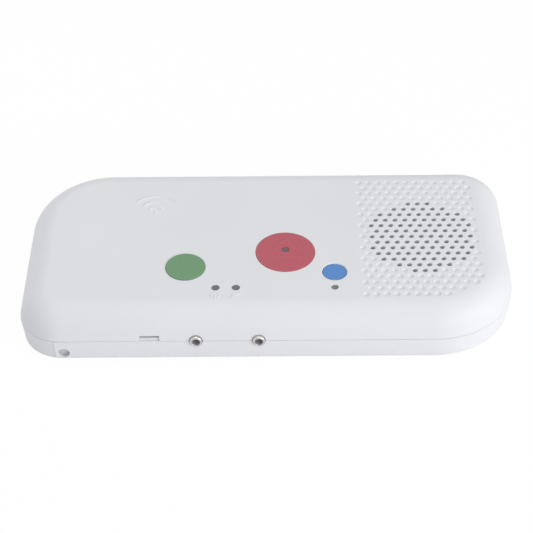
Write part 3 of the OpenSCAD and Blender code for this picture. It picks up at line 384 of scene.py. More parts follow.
class TerminalFace(bpy.types.PropertyGroup):
    """Sizes of what shows on the face."""

    mouth: length("Hole mouth", "Rounding of the grille holes' mouths", 0.4)
    button_mouth: length("Button mouth", "Rounding of the large button holes' mouths", 0.12)
    alarm_mouth: length("Alarm mouth", "Rounding of the alarm button's hole", 0.6)
    button_gap: length("Button gap", "Gap around a button", 0.12)
    pitch: length("Grille pitch", "Spacing of the grille's holes and dimples", 4.5)
    field: length("Grille field", "Radius of the field of through holes", 24.4)
    hole: length("Grille hole", "Width of a through hole", 2.3)
    dimple: length("Dimple", "Width of a dimple", 2.75)
    dimple_depth: length("Dimple depth", "Depth of a dimple", 0.75)
    port: length("Microphone port", "Width of the microphone's port", 3.3)
    window: length("Window", "Width of a status window", 3.66)
    icon_height: length("Icon height", "Height of the small raised marks", 0.28)
    wave_height: length("Wave height", "Height of the raised wave mark", 0.38)
    wave_radius: length("Wave radius", "Radius of the inmost wave", 3.5)
    wave_step: length("Wave step", "Spacing of the waves", 4.15)
    wave_stroke: length("Wave stroke", "Width of a wave", 1.2)
    wave_sweep: angle("Wave sweep", "Sweep of a wave", 98)
    wave_dot: length("Wave dot", "Width of the dot under the waves", 1.9)
    icon_stroke: length("Icon stroke", "Width of the small marks' lines", 0.7)
    power_radius: length("Power mark", "Radius of the power mark", 1.65)
    power_stem: length("Power stem", "Length of the power mark's stem", 2.1)
    mute_radius: length("Mute mark", "Radius of the mute mark", 1.3)
    mute_slash: length("Mute slash", "Half of the mute mark's slash", 2.6)
    wave_top: length("Wave mark", "Distance of the wave mark from the case's upper edge", 35.35)
    icon_drop: length("Small marks", "Distance of the small marks below their windows", 5.25)


class TerminalButtons(bpy.types.PropertyGroup):
    """Sizes of the buttons and jacks."""

    call: length("Call button", "Width of the call button", 26.8)
    presence: length("Presence button", "Width of the presence button", 17.8)
    alarm: length("Alarm button", "Width of the alarm button", 10.8)
    rim: length("Rim", "Height of the soft rim of a button", 0.4)
    rim_width: length("Rim width", "Width of the soft rim of a button", 0.8)
    crown: length("Crown", "Height of the soft crown of a button", 0.04)
    mark_height: length("Mark height", "Height of the raised marks", 0.15)
    mark_stroke: length("Mark stroke", "Width of the raised waves and of the ring", 0.9)
    triangle: length("Triangle", "Side of the raised triangle", 17)
    triangle_stroke: length("Triangle stroke", "Width of the triangle's sides", 1.1)
    triangle_rise: length("Triangle place", "Height of the triangle over the middle of its button", 0.5)
    wave_radius: length("Wave radius", "Radius of the inner wave", 7.1)
    wave_step: length("Wave step", "Spacing of the waves", 2.6)
    ring_radius: length("Ring", "Radius of the raised ring", 3.15)
    ring_rise: length("Ring place", "Height of the ring over the middle of its button", 0.9)
    lens: length("Lens", "Width of the call button's lens", 3.4)
    bore: length("Bore", "Width of a jack's bore", 3.6)


class TerminalStage(bpy.types.PropertyGroup):
    """Camera, lamps and floor."""

    camera_at: bpy.props.FloatVectorProperty(
        name="Camera", description="Place of the camera", subtype="TRANSLATION", unit="LENGTH", size=3,
        default=(0.0013, -0.5298, 0.4809),
    )
    camera_back: bpy.props.FloatVectorProperty(
        name="Camera axis", description="Direction from the scene to the camera", subtype="DIRECTION", size=3,
        default=(0.00286, -0.7452, 0.6668),
    )
    camera_roll: bpy.props.FloatProperty(
        name="Camera roll", description="Turn of the camera about its axis", subtype="ANGLE",
        default=math.radians(-0.587),
    )
    lens: bpy.props.FloatProperty(
        name="Lens", description="Focal length", subtype="DISTANCE_CAMERA", default=102.94,
    )
    sky: bpy.props.FloatProperty(
        name="Sky", description="Level of the light all round", default=0.47, min=0.0,
    )
    overhead: power("Overhead lamp", "Power of the large lamp above", 3.4)
    front_right: power("Front right lamp", "Power of the lamp at the front right", 2.8)
    right: power("Right lamp", "Power of the lamp at the right", 4.2)
    back_left: power("Back left lamp", "Power of the lamp at the back left", 1.0)
    left: power("Left lamp", "Power of the small lamp at the left", 0.16)
    floor_colour: bpy.props.FloatVectorProperty(
        name="Floor", description="Colour of the floor", subtype="COLOR", size=3, default=(0.98, 0.98, 0.98),
    )


# Modelling steps

UP = Vector((0.0, 0.0, 1.0))
OUT = Vector((0.0, -1.0, 0.0))
# How far marks and posts reach into what they stand on
SUNK = 0.3 * MM
# Share of the radius at which a small disc closes a turned end
TIP = 0.03


def middle(node):
    """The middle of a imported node's box."""
    low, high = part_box(node)
    return (Vector(low) + Vector(high)) / 2


def half_width(node):
    """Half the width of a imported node's box."""
    low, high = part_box(node)
    return (high[0] - low[0]) / 2


def top(node):
    """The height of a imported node's highest point."""
    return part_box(node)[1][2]


def ray(turn):
    """The direction at an angle in the plane of the face."""
    return Vector((math.cos(turn), math.sin(turn), 0.0))


def only(piece):
    """Makes a piece the active one and the only one selected."""
    bpy.ops.object.select_all(action="DESELECT")
    bpy.context.view_layer.objects.active = piece
    piece.select_set(True)


def begin(add, **settings):
    """Adds a primitive and opens it in edit mode with all of it selected."""
    bpy.ops.object.select_all(action="DESELECT")
    add(**settings)
    bpy.ops.object.mode_set(mode="EDIT")
    bpy.ops.mesh.select_all(action="SELECT")


def close(name):
    """Leaves edit mode with merged corners, normals outwards and the piece's place in its mesh."""
    bpy.ops.mesh.select_all(action="SELECT")
    bpy.ops.mesh.remove_doubles(threshold=0.0005 * MM)
    bpy.ops.mesh.normals_make_consistent(inside=False)
    bpy.ops.object.mode_set(mode="OBJECT")
    bpy.ops.object.transform_apply(location=True, rotation=True, scale=True)
    bpy.context.object.name = name
    return bpy.context.object


def pick(kind, test):
    """Selects only those vertices, edges or faces of the open mesh that pass a test."""
    bpy.ops.mesh.select_mode(type={"verts": "VERT", "edges": "EDGE", "faces": "FACE"}[kind])
    bpy.ops.mesh.select_all(action="DESELECT")
    mesh = bmesh.from_edit_mesh(bpy.context.object.data)
    for item in getattr(mesh, kind):
        item.select_set(test(item))
    mesh.select_flush_mode()
    bmesh.update_edit_mesh(bpy.context.object.data)


def arc(middle_at, radius, start, end, steps):
    """Points of an arc in a section, from one angle to another."""
    angles = [start + (end - start) * i / steps for i in range(steps + 1)]
    return [(middle_at[0] + radius * math.cos(a), middle_at[1] + radius * math.sin(a)) for a in angles]


def extrude(way):
    """Extrudes what is selected in the open mesh."""
    bpy.ops.mesh.extrude_region_move(TRANSFORM_OT_translate={"value": way})


def resize(factors, centre):
    """Resizes what is selected in the open mesh about a centre."""
    bpy.ops.transform.resize(value=factors, center_override=centre)


def round_corners(radius, segments):
    """Rounds the selected corners of an open flat face."""
    bpy.ops.mesh.bevel(offset_type="ABSOLUTE", offset=radius, segments=segments, profile=0.5,
                       affect="VERTICES", clamp_overlap=False)


def open_plane(at, width, depth):
    """Opens a flat rectangle."""
    begin(bpy.ops.mesh.primitive_plane_add, size=1.0, location=at)
    resize((width, depth, 1.0), at)


def open_box(low, high):
    """Opens a box between two corners."""
    low, high = Vector(low), Vector(high)
    begin(bpy.ops.mesh.primitive_cube_add, size=1.0, location=(low + high) / 2)
    resize(high - low, (low + high) / 2)


def open_disc(at, radius, count, lean):
    """Opens a flat disc."""
    begin(bpy.ops.mesh.primitive_circle_add, vertices=count, radius=radius, fill_type="NGON",
          location=at, rotation=lean)


def stretch(at, axis, sections):
    """Carries the open disc along an axis. Sections are (radius, distance), and the disc is the first."""
    (radius, along), *rest = sections
    for wide, far in rest:
        extrude(axis * (far - along))
        resize((wide / radius,) * 3, at + axis * far)
        radius, along = wide, far


def turned(name, at, sections, count=64, axis=UP):
    """A turned solid: sections are (radius, distance along the axis), from one end disc to the other."""
    at = Vector(at)
    radius, along = sections[0]
    lean = (0.0 if axis == UP else math.pi / 2, 0.0, 0.0)
    open_disc(at + axis * along, radius, count, lean)
    stretch(at, axis, sections)
    return close(name)


def block(name, low, high, soft):
    """A box between two corners, with all its edges softened."""
    open_box(low, high)
    bpy.ops.mesh.bevel(offset=soft, segments=3, profile=0.5)
    return close(name)


def outline(inset, height):
    """Opens a face with the case's outline, drawn in by an inset."""
    case = bpy.context.scene.terminal_case
    open_plane((0.0, 0.0, height), case.width - 2 * inset, case.depth - 2 * inset)
    for radius, side in ((case.wide_corner, -1), (case.tight_corner, 1)):
        pick("verts", lambda v: v.co.x * v.co.y * side > 0)
        round_corners(radius - inset, 32)
    bpy.ops.mesh.select_mode(type="FACE")


def follow(section, start, facing):
    """Carries the selected face along a section of (inset, height)."""
    inset, height = start
    for far_inset, far_height in section:
        rise = far_height - height
        if far_inset - inset > 1e-7:
            bpy.ops.mesh.inset(thickness=far_inset - inset, depth=rise * facing, use_even_offset=True,
                               use_boundary=True)
        else:
            extrude(UP * rise)
        inset, height = far_inset, far_height


def carried(name, start, above, below, ring=False):
    """A solid with the case's outline, from its widest point along two sections. A ring's ends meet."""
    outline(*start)
    bpy.ops.mesh.select_all(action="SELECT")
    bpy.ops.mesh.duplicate()
    bpy.ops.mesh.flip_normals()
    pick("faces", lambda f: f.normal.z > 0.99)
    follow(above, start, 1)
    if ring:
        bpy.ops.mesh.delete(type="ONLY_FACE")
    pick("faces", lambda f: f.normal.z < -0.99 and abs(f.calc_center_median().z) < 1e-6)
    follow(below, start, -1)
    if ring:
        bpy.ops.mesh.delete(type="ONLY_FACE")
    return close(name)


def combine(piece, other, operation):
    """Joins another solid to a piece, or cuts it away, and takes it out of the scene."""
    only(piece)
    step = piece.modifiers.new("shape", "BOOLEAN")
    step.operation = operation
    step.solver = "EXACT"
    step.object = other
    bpy.ops.object.modifier_apply(modifier=step.name)
    bpy.data.objects.remove(other)


def gather(name, pieces):
    """Several separate solids as one object."""
    only(pieces[0])
    for piece in pieces:
        piece.select_set(True)
    bpy.ops.object.join()
    pieces[0].name = name
    return pieces[0]


def repeated(piece, places):
    """Copies a solid, which stands at the first place, to the other places in the same mesh."""
    only(piece)
    bpy.ops.object.mode_set(mode="EDIT")
    bpy.ops.mesh.select_all(action="SELECT")
    for here, there in zip(places, places[1:]):
        bpy.ops.mesh.duplicate_move(TRANSFORM_OT_translate={"value": there - here})
    bpy.ops.object.mode_set(mode="OBJECT")
    return piece


def mouth_arc(radius, soft, end):
    """Sections of a cutter for the rounded mouth of a hole, which opens at the end."""
    return arc((radius + soft, end - soft), soft, math.pi, math.pi / 2 + 0.01, 4)[1:]


def hole(at, face, radius, mouth, depth, count=48):
    """A cutter for a round hole whose mouth in the face is rounded."""
    skin = 0.004 * MM
    sections = [(radius, face - depth), (radius, face - mouth), *mouth_arc(radius, mouth, face)]
    sections += [(radius + mouth, face - skin), (radius + mouth, face + MM)]
    return turned("hole", (at[0], at[1], 0.0), sections, count)


def bar_radius(stroke, height):
    """Radius of a round bar that shows with a width and height above a face."""
    return (stroke ** 2 / 4 + height ** 2) / (2 * height)


def bar_end(bar, height):
    """Sections of a bar's rounded end, until it sinks in the face."""
    limit = math.acos(1 - height / bar)
    return [(bar * math.cos(limit * k / 3), bar * math.sin(limit * k / 3)) for k in range(4)]


def bar_start(place, along, bar, height):
    """Opens a bar at the rounded end where a ridge starts."""
    sections = bar_end(bar, height)[::-1]
    radius, far = sections[0]
    turn = math.atan2(along.y, along.x) - math.pi / 2
    open_disc(place - along * far, radius, 32, (math.pi / 2, 0.0, turn))
    stretch(place, -along, sections)


def close_ridge(face):
    """Cuts a ridge off a little under the face that it stands on, and closes it."""
    bpy.ops.mesh.select_all(action="SELECT")
    bpy.ops.mesh.bisect(plane_co=UP * (face - SUNK), plane_no=UP, use_fill=True, clear_inner=True)
    return close("ridge")


def line_ridge(start, end, stroke, height):
    """A soft straight ridge on the plane of its ends."""
    bar = bar_radius(stroke, height)
    sink = UP * (height - bar)
    along = (end - start).normalized()
    bar_start(start + sink, along, bar, height)
    extrude(end - start)
    stretch(end + sink, along, bar_end(bar, height))
    return close_ridge(start.z)


def arc_ridge(centre, radius, stroke, height, start, sweep):
    """A soft ridge round a centre, from an angle on over a sweep: a whole bar, sunk into its face."""
    bar = bar_radius(stroke, height)
    heart = centre + UP * (height - bar)
    first, last = ray(start), ray(start + sweep)
    bar_start(heart + radius * first, UP.cross(first), bar, height)
    steps = max(6, round(math.degrees(sweep) / 5))
    bpy.ops.mesh.spin(steps=steps, angle=-sweep, center=heart, axis=UP)
    stretch(heart + radius * last, UP.cross(last), bar_end(bar, height))
    return close("ridge")


def ring_ridge(centre, radius, stroke, height):
    """A soft ridge all round a centre."""
    bar = bar_radius(stroke, height)
    begin(bpy.ops.mesh.primitive_torus_add, location=centre + UP * (height - bar), major_radius=radius,
          minor_radius=bar, major_segments=72, minor_segments=32)
    return close_ridge(centre.z)


def dome(centre, width, height):
    """A soft round dot, with its foot under the plane of its centre."""
    ball = bar_radius(width, height)
    low = math.asin((ball - height) / ball)
    sections = [(width / 2, centre.z - SUNK)]
    sections += arc((0.0, centre.z + height - ball), ball, low, math.radians(87), 8)
    return turned("dome", (centre.x, centre.y, 0.0), sections, 40)


def soften(piece):
    """Smooth shading that keeps hard edges and flat faces."""
    only(piece)
    bpy.ops.object.shade_smooth_by_angle(angle=math.radians(32))
    even = piece.modifiers.new("even", "WEIGHTED_NORMAL")
    even.keep_sharp = True
    bpy.ops.object.modifier_apply(modifier=even.name)


def place(piece, name, body, node, finish=None):
    """Names a finished piece, gives it its finish and lets it stand for its node."""
    soften(piece)
    piece.name = name
    piece.data.name = name
    piece.data.materials.clear()
    piece.data.materials.append(finish or finish_for(slot_of(node)))
    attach(piece, body)
    slot_of(node)
    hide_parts(node)


# Operators


class TERMINAL_OT_finishes(bpy.types.Operator):
    """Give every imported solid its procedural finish"""

    bl_idname = "terminal.finishes"
    bl_label = "Finishes"

    def execute(self, context):
        for name, node in frame["nodes"].items():
            node.data.materials.clear()
            node.data.materials.append(finish_for(slot_of(name)))
        return {"FINISHED"}


# Rounding and gap at the parting line, break of the edge on the wall, draw of the rear cover towards it,
# the rear cover's lip and the tab in the notch inside the outline, and height of the pad
EDGE = 0.12 * MM
GAP = 0.12 * MM
FOOT = 0.7 * MM
DRAW = 0.96 * MM
LIP_INSET = 2.853 * MM
LIP_WALL = 1.2 * MM
LIP_HEIGHT = 1.8 * MM
TAB_INSET = 0.8 * MM
TAB_HEIGHT = 1.5 * MM
PAD_PROUD = 0.1 * MM
# Lock screw: seat behind the front of its solid, thickness of the head, width of the shank
LOCK_SEAT = 2.7 * MM
LOCK_HEAD = 2 * MM
LOCK_SHANK = 2.4 * MM
# Buttons: wall, thickness and reach of the flange, width of a post
SKIN = 1.6 * MM
FLANGE = 1 * MM
FLANGE_LIP = 0.95 * MM
POST = 4.4 * MM
# Light pipes: gap and thickness of the lip
PIPE_GAP = 0.05 * MM
PIPE_LIP = 0.8 * MM
# Jacks: gap in the seat, depth of the blind bore, inside which the finish paints shade, rounding of the
# bushing's lip
SEAT_GAP = 0.14 * MM
BORE_DEPTH = 3.2 * MM
BUSHING_LIP = 0.7 * MM
# Where the face is divided between its features, in millimetres from the middle
FACE_CUTS = (-66, -26.6, -9, 22.6, 40.8)
# Rows of the grille on each side of its middle row, and places in a row
GRILLE_ROWS = 10
GRILLE_COLUMNS = 12
# A dimple's section, as shares of its radius and depth
DIMPLE = ((0.42, 1.0), (0.68, 0.8), (0.87, 0.42), (1.02, 0.14))
DIMPLE_MOUTH = 1.26
# Start and sweep of the arcs in the small marks, and lean of the slash, in degrees
POWER_ARC = (-50, 280)
MUTE_ARC = (60, 240)
SLASH_LEAN = 40
# Start and sweep of the call button's waves, in degrees
CALL_WAVE = (-5, 61)


class TERMINAL_OT_front_cover(bpy.types.Operator):
    """Model the front cover with its grille, holes and raised marks"""

    bl_idname = "terminal.front_cover"
    bl_label = "Front cover"

    def execute(self, context):
        case = context.scene.terminal_case
        face = context.scene.terminal_face
        cover = self.shell(case)
        self.divide(cover, case, face)
        combine(cover, self.holes(context, case, face), "DIFFERENCE")
        combine(cover, self.notch(case), "DIFFERENCE")
        combine(cover, bushing_seats(), "DIFFERENCE")
        gather("front_shell", [cover, *self.marks(case, face)])
        place(cover, "front_shell", "case", "front_cover")
        return {"FINISHED"}

    def shell(self, case):
        """The bare shell: side wall, shoulder and face outside, and the same drawn in by the wall inside."""
        low = case.parting + GAP
        inner = case.shoulder - case.wall
        start = (self.wall_at(case, case.shoulder, low + EDGE), low + EDGE)
        below = arc((start[0] + EDGE, start[1]), EDGE, math.pi, 1.5 * math.pi, 3)[1:]
        below += [(self.wall_at(case, inner, low), low), *self.shoulder(case, inner)]
        return carried("front_shell", start, self.shoulder(case, case.shoulder), below)

    def flat_inset(self, case):
        """Inset at which the face is flat."""
        rise = case.face - case.shoulder + case.shoulder * math.sin(case.draft) - case.parting
        return case.shoulder * math.cos(case.draft) + rise * math.tan(case.draft)

    def wall_at(self, case, radius, height):
        """Inset of the drafted wall under an arc, at a height."""
        rise = case.face - case.shoulder + radius * math.sin(case.draft) - height
        return self.flat_inset(case) - radius * math.cos(case.draft) - rise * math.tan(case.draft)

    def shoulder(self, case, radius):
        """The shoulder's arc as (inset, height), from the drafted wall to the flat face."""
        flat = self.flat_inset(case)
        points = arc((0.0, case.face - case.shoulder), radius, case.draft, math.pi / 2, 18)
        return [(flat - x, z) for x, z in points]

    def divide(self, cover, case, face):
        """Divides both sides of the face between its features, so that each part has few holes."""
        under = case.face - case.wall - 0.1 * MM

        def level(part, left=-case.width):
            at = part.calc_center_median()
            return abs(part.normal.z) > 0.99 and at.z > under and at.x > left

        only(cover)
        bpy.ops.object.mode_set(mode="EDIT")
        for x in FACE_CUTS:
            pick("faces", level)
            bpy.ops.mesh.bisect(plane_co=(x * MM, 0.0, 0.0), plane_no=(1.0, 0.0, 0.0))
        for row in range(-GRILLE_ROWS, GRILLE_ROWS):
            pick("faces", lambda part: level(part, FACE_CUTS[-1] * MM))
            y = middle("grille_cloth").y + (row + 0.5) * face.pitch * math.sqrt(3) / 2
            bpy.ops.mesh.bisect(plane_co=(0.0, y, 0.0), plane_no=(0.0, 1.0, 0.0))
        bpy.ops.object.mode_set(mode="OBJECT")

    def grille(self, case, face):
        """Places of the grille's holes and dimples."""
        centre = middle("grille_cloth")
        flat = self.flat_inset(case)
        corner = Vector((case.width / 2 - case.wide_corner, case.wide_corner - case.depth / 2))
        holes, dimples = [], []
        for row in range(-GRILLE_ROWS, GRILLE_ROWS + 1):
            for column in range(GRILLE_COLUMNS):
                x = centre.x + (column - (GRILLE_COLUMNS - row % 2) / 2) * face.pitch
                y = centre.y + row * face.pitch * math.sqrt(3) / 2
                here = Vector((x, y, 0.0))
                out = here.xy - corner
                if (here.xy - centre.xy).length <= face.field:
                    holes.append(here)
                elif abs(y) < case.depth / 2 - flat and (
                        out.x < 0 or out.y > 0 or out.length < case.wide_corner - flat):
                    dimples.append(here)
        return holes, dimples

    def dimples(self, case, face, places):
        """Cutters for the dimples round the through holes: shallow pans with a soft mouth."""
        radius, wide = face.dimple / 2, face.dimple / 2 * DIMPLE_MOUTH
        sections = [(radius * out, case.face - face.dimple_depth * down) for out, down in DIMPLE]
        sections += [(wide, case.face + 0.03 * MM), (wide, case.face + MM)]
        return repeated(turned("dimples", places[0], sections, 18), places)

    def holes(self, context, case, face):
        """Cutters for the grille, the microphone's port, the windows and the buttons."""
        buttons = context.scene.terminal_buttons
        deep = case.wall + MM
        places, dimples = self.grille(case, face)
        grille = repeated(hole(places[0], case.face, face.hole / 2, face.mouth, deep, 28), places)
        cutters = [grille, self.dimples(case, face, dimples)]
        cutters.append(hole(middle("microphone_gauze"), case.face, face.port / 2, face.mouth / 2, deep))
        for node in WINDOWS:
            cutters.append(hole(middle(node), case.face, face.window / 2, face.mouth / 2, deep))
        for node, width, mouth in (
            ("call_cap", buttons.call, face.button_mouth),
            ("presence_cap", buttons.presence, face.button_mouth),
            ("alarm_cap", buttons.alarm, face.alarm_mouth),
        ):
            cutters.append(hole(middle(node), case.face, width / 2 + face.button_gap, mouth, deep, 96))
        return gather("holes", cutters)

    def marks(self, case, face):
        """The raised marks: the waves with their dot, and the small marks under the windows."""
        small = (face.icon_stroke, face.icon_height)
        wave = Vector((middle("card_reader_board").x, case.depth / 2 - face.wave_top, case.face))
        start = (math.pi - face.wave_sweep) / 2
        marks = [
            arc_ridge(wave, face.wave_radius + k * face.wave_step, face.wave_stroke, face.wave_height,
                      start, face.wave_sweep)
            for k in range(3)
        ]
        power, mute = [Vector((*middle(node).xy, case.face)) for node in WINDOWS]
        for at in (power, mute):
            at.y -= face.icon_drop
        marks.append(arc_ridge(power, face.power_radius, *small, *map(math.radians, POWER_ARC)))
        marks.append(arc_ridge(mute, face.mute_radius, *small, *map(math.radians, MUTE_ARC)))
        foot = power - Vector((0.0, face.power_radius, 0.0))
        marks.append(line_ridge(foot, foot + Vector((0.0, face.power_stem, 0.0)), *small))
        slash = face.mute_slash * ray(math.radians(SLASH_LEAN))
        marks.append(line_ridge(mute - slash, mute + slash, *small))
        marks.append(dome(wave, face.wave_dot, face.wave_height))
        return marks

    def notch(self, case):
        """Cutter for the release notch, with leaning sides."""
        x = case.notch_x - case.width / 2
        y = -case.depth / 2
        half = case.notch_width / 2
        high = case.parting + case.notch_height
        taper, soft = 0.96, 0.4 * MM

        def upper_end(edge):
            first, last = edge.verts
            return min(first.co.z, last.co.z) > 0 and abs(first.co.x - last.co.x) < 1e-6

        open_box((x - half, y - MM, case.parting - MM), (x + half, y + case.wall + MM, high))
        pick("verts", lambda v: v.co.z > 0)
        resize((taper, 1.0, 1.0), (x, y, high))
        pick("edges", upper_end)
        bpy.ops.mesh.bevel(offset=soft, segments=4, profile=0.5)
        return close("notch")


def bushing_seats():
    """Cutters for the round seats of both jack bushings, half in each cover."""
    seats = []
    for node in JACKS:
        low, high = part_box(node)
        at = middle(node)
        radius = half_width(node) + SEAT_GAP
        start = (at.x, high[1] - MM, at.z)
        seats.append(turned("seat", start, [(radius, 0.0), (radius, high[1] - low[1])], 48, OUT))
    return gather("seats", seats)


class TERMINAL_OT_rear_cover(bpy.types.Operator):
    """Model the rear cover with its lip, lock pad, tab and wall openings"""

    bl_idname = "terminal.rear_cover"
    bl_label = "Rear cover"

    def execute(self, context):
        case = context.scene.terminal_case
        screw = middle("lock_screw")
        cover = self.shell(case)
        for solid in (self.lip(case), self.pad(case, screw), self.tab(case)):
            combine(cover, solid, "UNION")
        for cutter in (bushing_seats(), self.lock_hole(case, screw), self.openings(case)):
            combine(cover, cutter, "DIFFERENCE")
        place(cover, "rear_shell", "case", "rear_cover")
        matte = made("terminal_lock_screw", moulded, (0.6, 0.6, 0.61), roughness=0.6)
        place(self.screw(screw), "lock_screw_pin", "case", "lock_screw", matte)
        return {"FINISHED"}

    def seat(self):
        """Where the lock screw's head rests, deep enough to stay in the shade."""
        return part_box("lock_screw")[0][1] + LOCK_SEAT

    def screw(self, at):
        """The lock screw, with a smooth flat head."""
        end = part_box("lock_screw")[1][1]
        under = end - self.seat()
        long = under + LOCK_HEAD
        radius = half_width("lock_screw")
        shank = LOCK_SHANK / 2
        soft = 0.15 * MM
        sections = [(shank * 0.6, 0.0), (shank, 0.5 * MM), (shank, under), (radius, under)]
        sections += arc((radius - soft, long - soft), soft, 0.0, math.pi / 2, 3)
        sections.append((radius * TIP, long))
        return turned("screw", (at.x, end, at.z), sections, 48, OUT)

    def inset(self, case, height):
        """How far the drawn wall lies inside the outline at a height."""
        return DRAW * (case.parting - height) / case.parting

    def shell(self, case):
        """The tray: drawn wall with soft edges outside, wall and floor inside."""
        start = (self.inset(case, case.parting - EDGE), case.parting - EDGE)
        above = arc((start[0] + EDGE, start[1]), EDGE, math.pi, math.pi / 2, 3)[1:]
        above += [(case.wall, case.parting), (case.wall + self.inset(case, case.floor), case.floor)]
        foot = self.inset(case, FOOT) + FOOT
        below = arc((foot, FOOT), FOOT, math.pi, 1.5 * math.pi, 4)
        below.append((foot + 2 * MM, 0.0))
        return carried("rear_shell", start, above, below)

    def lip(self, case):
        """The lip inside the parting line, with its root on the wall."""
        soft, bite = 0.2 * MM, 0.05 * MM
        root = case.parting - 3 * MM
        seat = case.parting - bite
        crest = case.parting + LIP_HEIGHT
        start = (case.wall - bite, root)
        inner = LIP_INSET + LIP_WALL
        above = [(start[0], seat), (LIP_INSET, seat), (LIP_INSET, crest - soft),
                 (LIP_INSET + soft, crest), (inner - soft, crest), (inner, crest - soft), (inner, root)]
        return carried("lip", start, above, [(inner, root)], ring=True)

    def leaning(self, name, low, high, shift):
        """A box whose foot is moved inwards, as the wall leans."""
        open_box(low, high)
        pick("verts", lambda v: v.co.z < 0)
        bpy.ops.transform.translate(value=(0.0, shift, 0.0))
        return close(name)

    def pad(self, case, screw):
        """The pad round the lock screw's hole, and the boss behind it."""
        left, right = screw.x - case.pad_width / 2, screw.x + case.pad_width / 2
        y = -case.depth / 2
        tall = case.parting - EDGE
        out = y + self.inset(case, tall) - PAD_PROUD
        shift = self.inset(case, FOOT) - self.inset(case, tall)
        back = out + 1.2 * MM
        plate = self.leaning("pad", (left, out, FOOT), (right, back, tall), shift)
        low = (left, y + case.wall - SUNK, case.floor - SUNK)
        high = (right, self.seat() + 2 * MM, screw.z + case.lock_hole / 2 + MM)
        return gather("pad", [plate, block("boss", low, high, 0.2 * MM)])

    def tab(self, case):
        """The tab that fills the lower part of the release notch."""
        x = case.notch_x - case.width / 2
        y = -case.depth / 2
        half = case.notch_width / 2 - 0.06 * MM
        low = (x - half, y + TAB_INSET, case.parting - 0.4 * MM)
        high = (x + half, y + LIP_INSET + 0.2 * MM, case.parting + TAB_HEIGHT)
        return block("tab", low, high, 0.15 * MM)

    def lock_hole(self, case, screw):
        """Cutter for the access hole, with a soft mouth, and the screw's clearance behind its seat."""
        seat = self.seat()
        deep = seat - (-case.depth / 2 + self.inset(case, screw.z) - PAD_PROUD)
        radius = case.lock_hole / 2
        head, tight = LOCK_HEAD, half_width("lock_screw") + 0.04 * MM
        shank = LOCK_SHANK / 2 + 0.15 * MM
        soft = 0.25 * MM
        sections = [(shank, -3 * MM), (shank, 0.0), (tight, 0.0), (tight, head)]
        sections += [(radius, head + 0.4 * MM), (radius, deep - soft), *mouth_arc(radius, soft, deep)]
        sections.append((radius + soft, deep + MM))
        return turned("lock_hole", (screw.x, seat, screw.z), sections, 48, OUT)

    def openings(self, case):
        """Cutters for the cable opening, the wiring box slots, the wall holes and the jacks' seams."""
        cutters = [self.opening(case, 0.0, case.cable_width, case.cable_depth, case.cable_corner)]
        slot = (case.slot_length, case.slot_width, case.slot_width / 2)
        drill = [(case.wall_hole / 2, -MM), (case.wall_hole / 2, case.floor + MM)]
        for side in (-1, 1):
            cutters.append(self.opening(case, side * case.slot_x, *slot))
            for end in (-1, 1):
                at = (side * case.wall_hole_x, end * case.wall_hole_y, 0.0)
                cutters.append(turned("wall_hole", at, drill, 40))
        tall = case.parting - 2 * MM
        y = -case.depth / 2 + self.inset(case, tall)
        shift = self.inset(case, -MM) - self.inset(case, tall)
        half, deep = 0.15 * MM, 0.05 * MM
        for node in JACKS:
            x = middle(node).x
            cutters.append(self.leaning("seam", (x - half, y - MM, -MM), (x + half, y + deep, tall), shift))
        return gather("openings", cutters)

    def opening(self, case, x, width, depth, radius):
        """A cutter for a rounded opening in the floor."""
        open_plane((x, case.back_rise, -MM), width, depth)
        round_corners(radius * 0.999, 10)
        bpy.ops.mesh.select_all(action="SELECT")
        extrude(UP * (case.floor + 2 * MM))
        return close("opening")


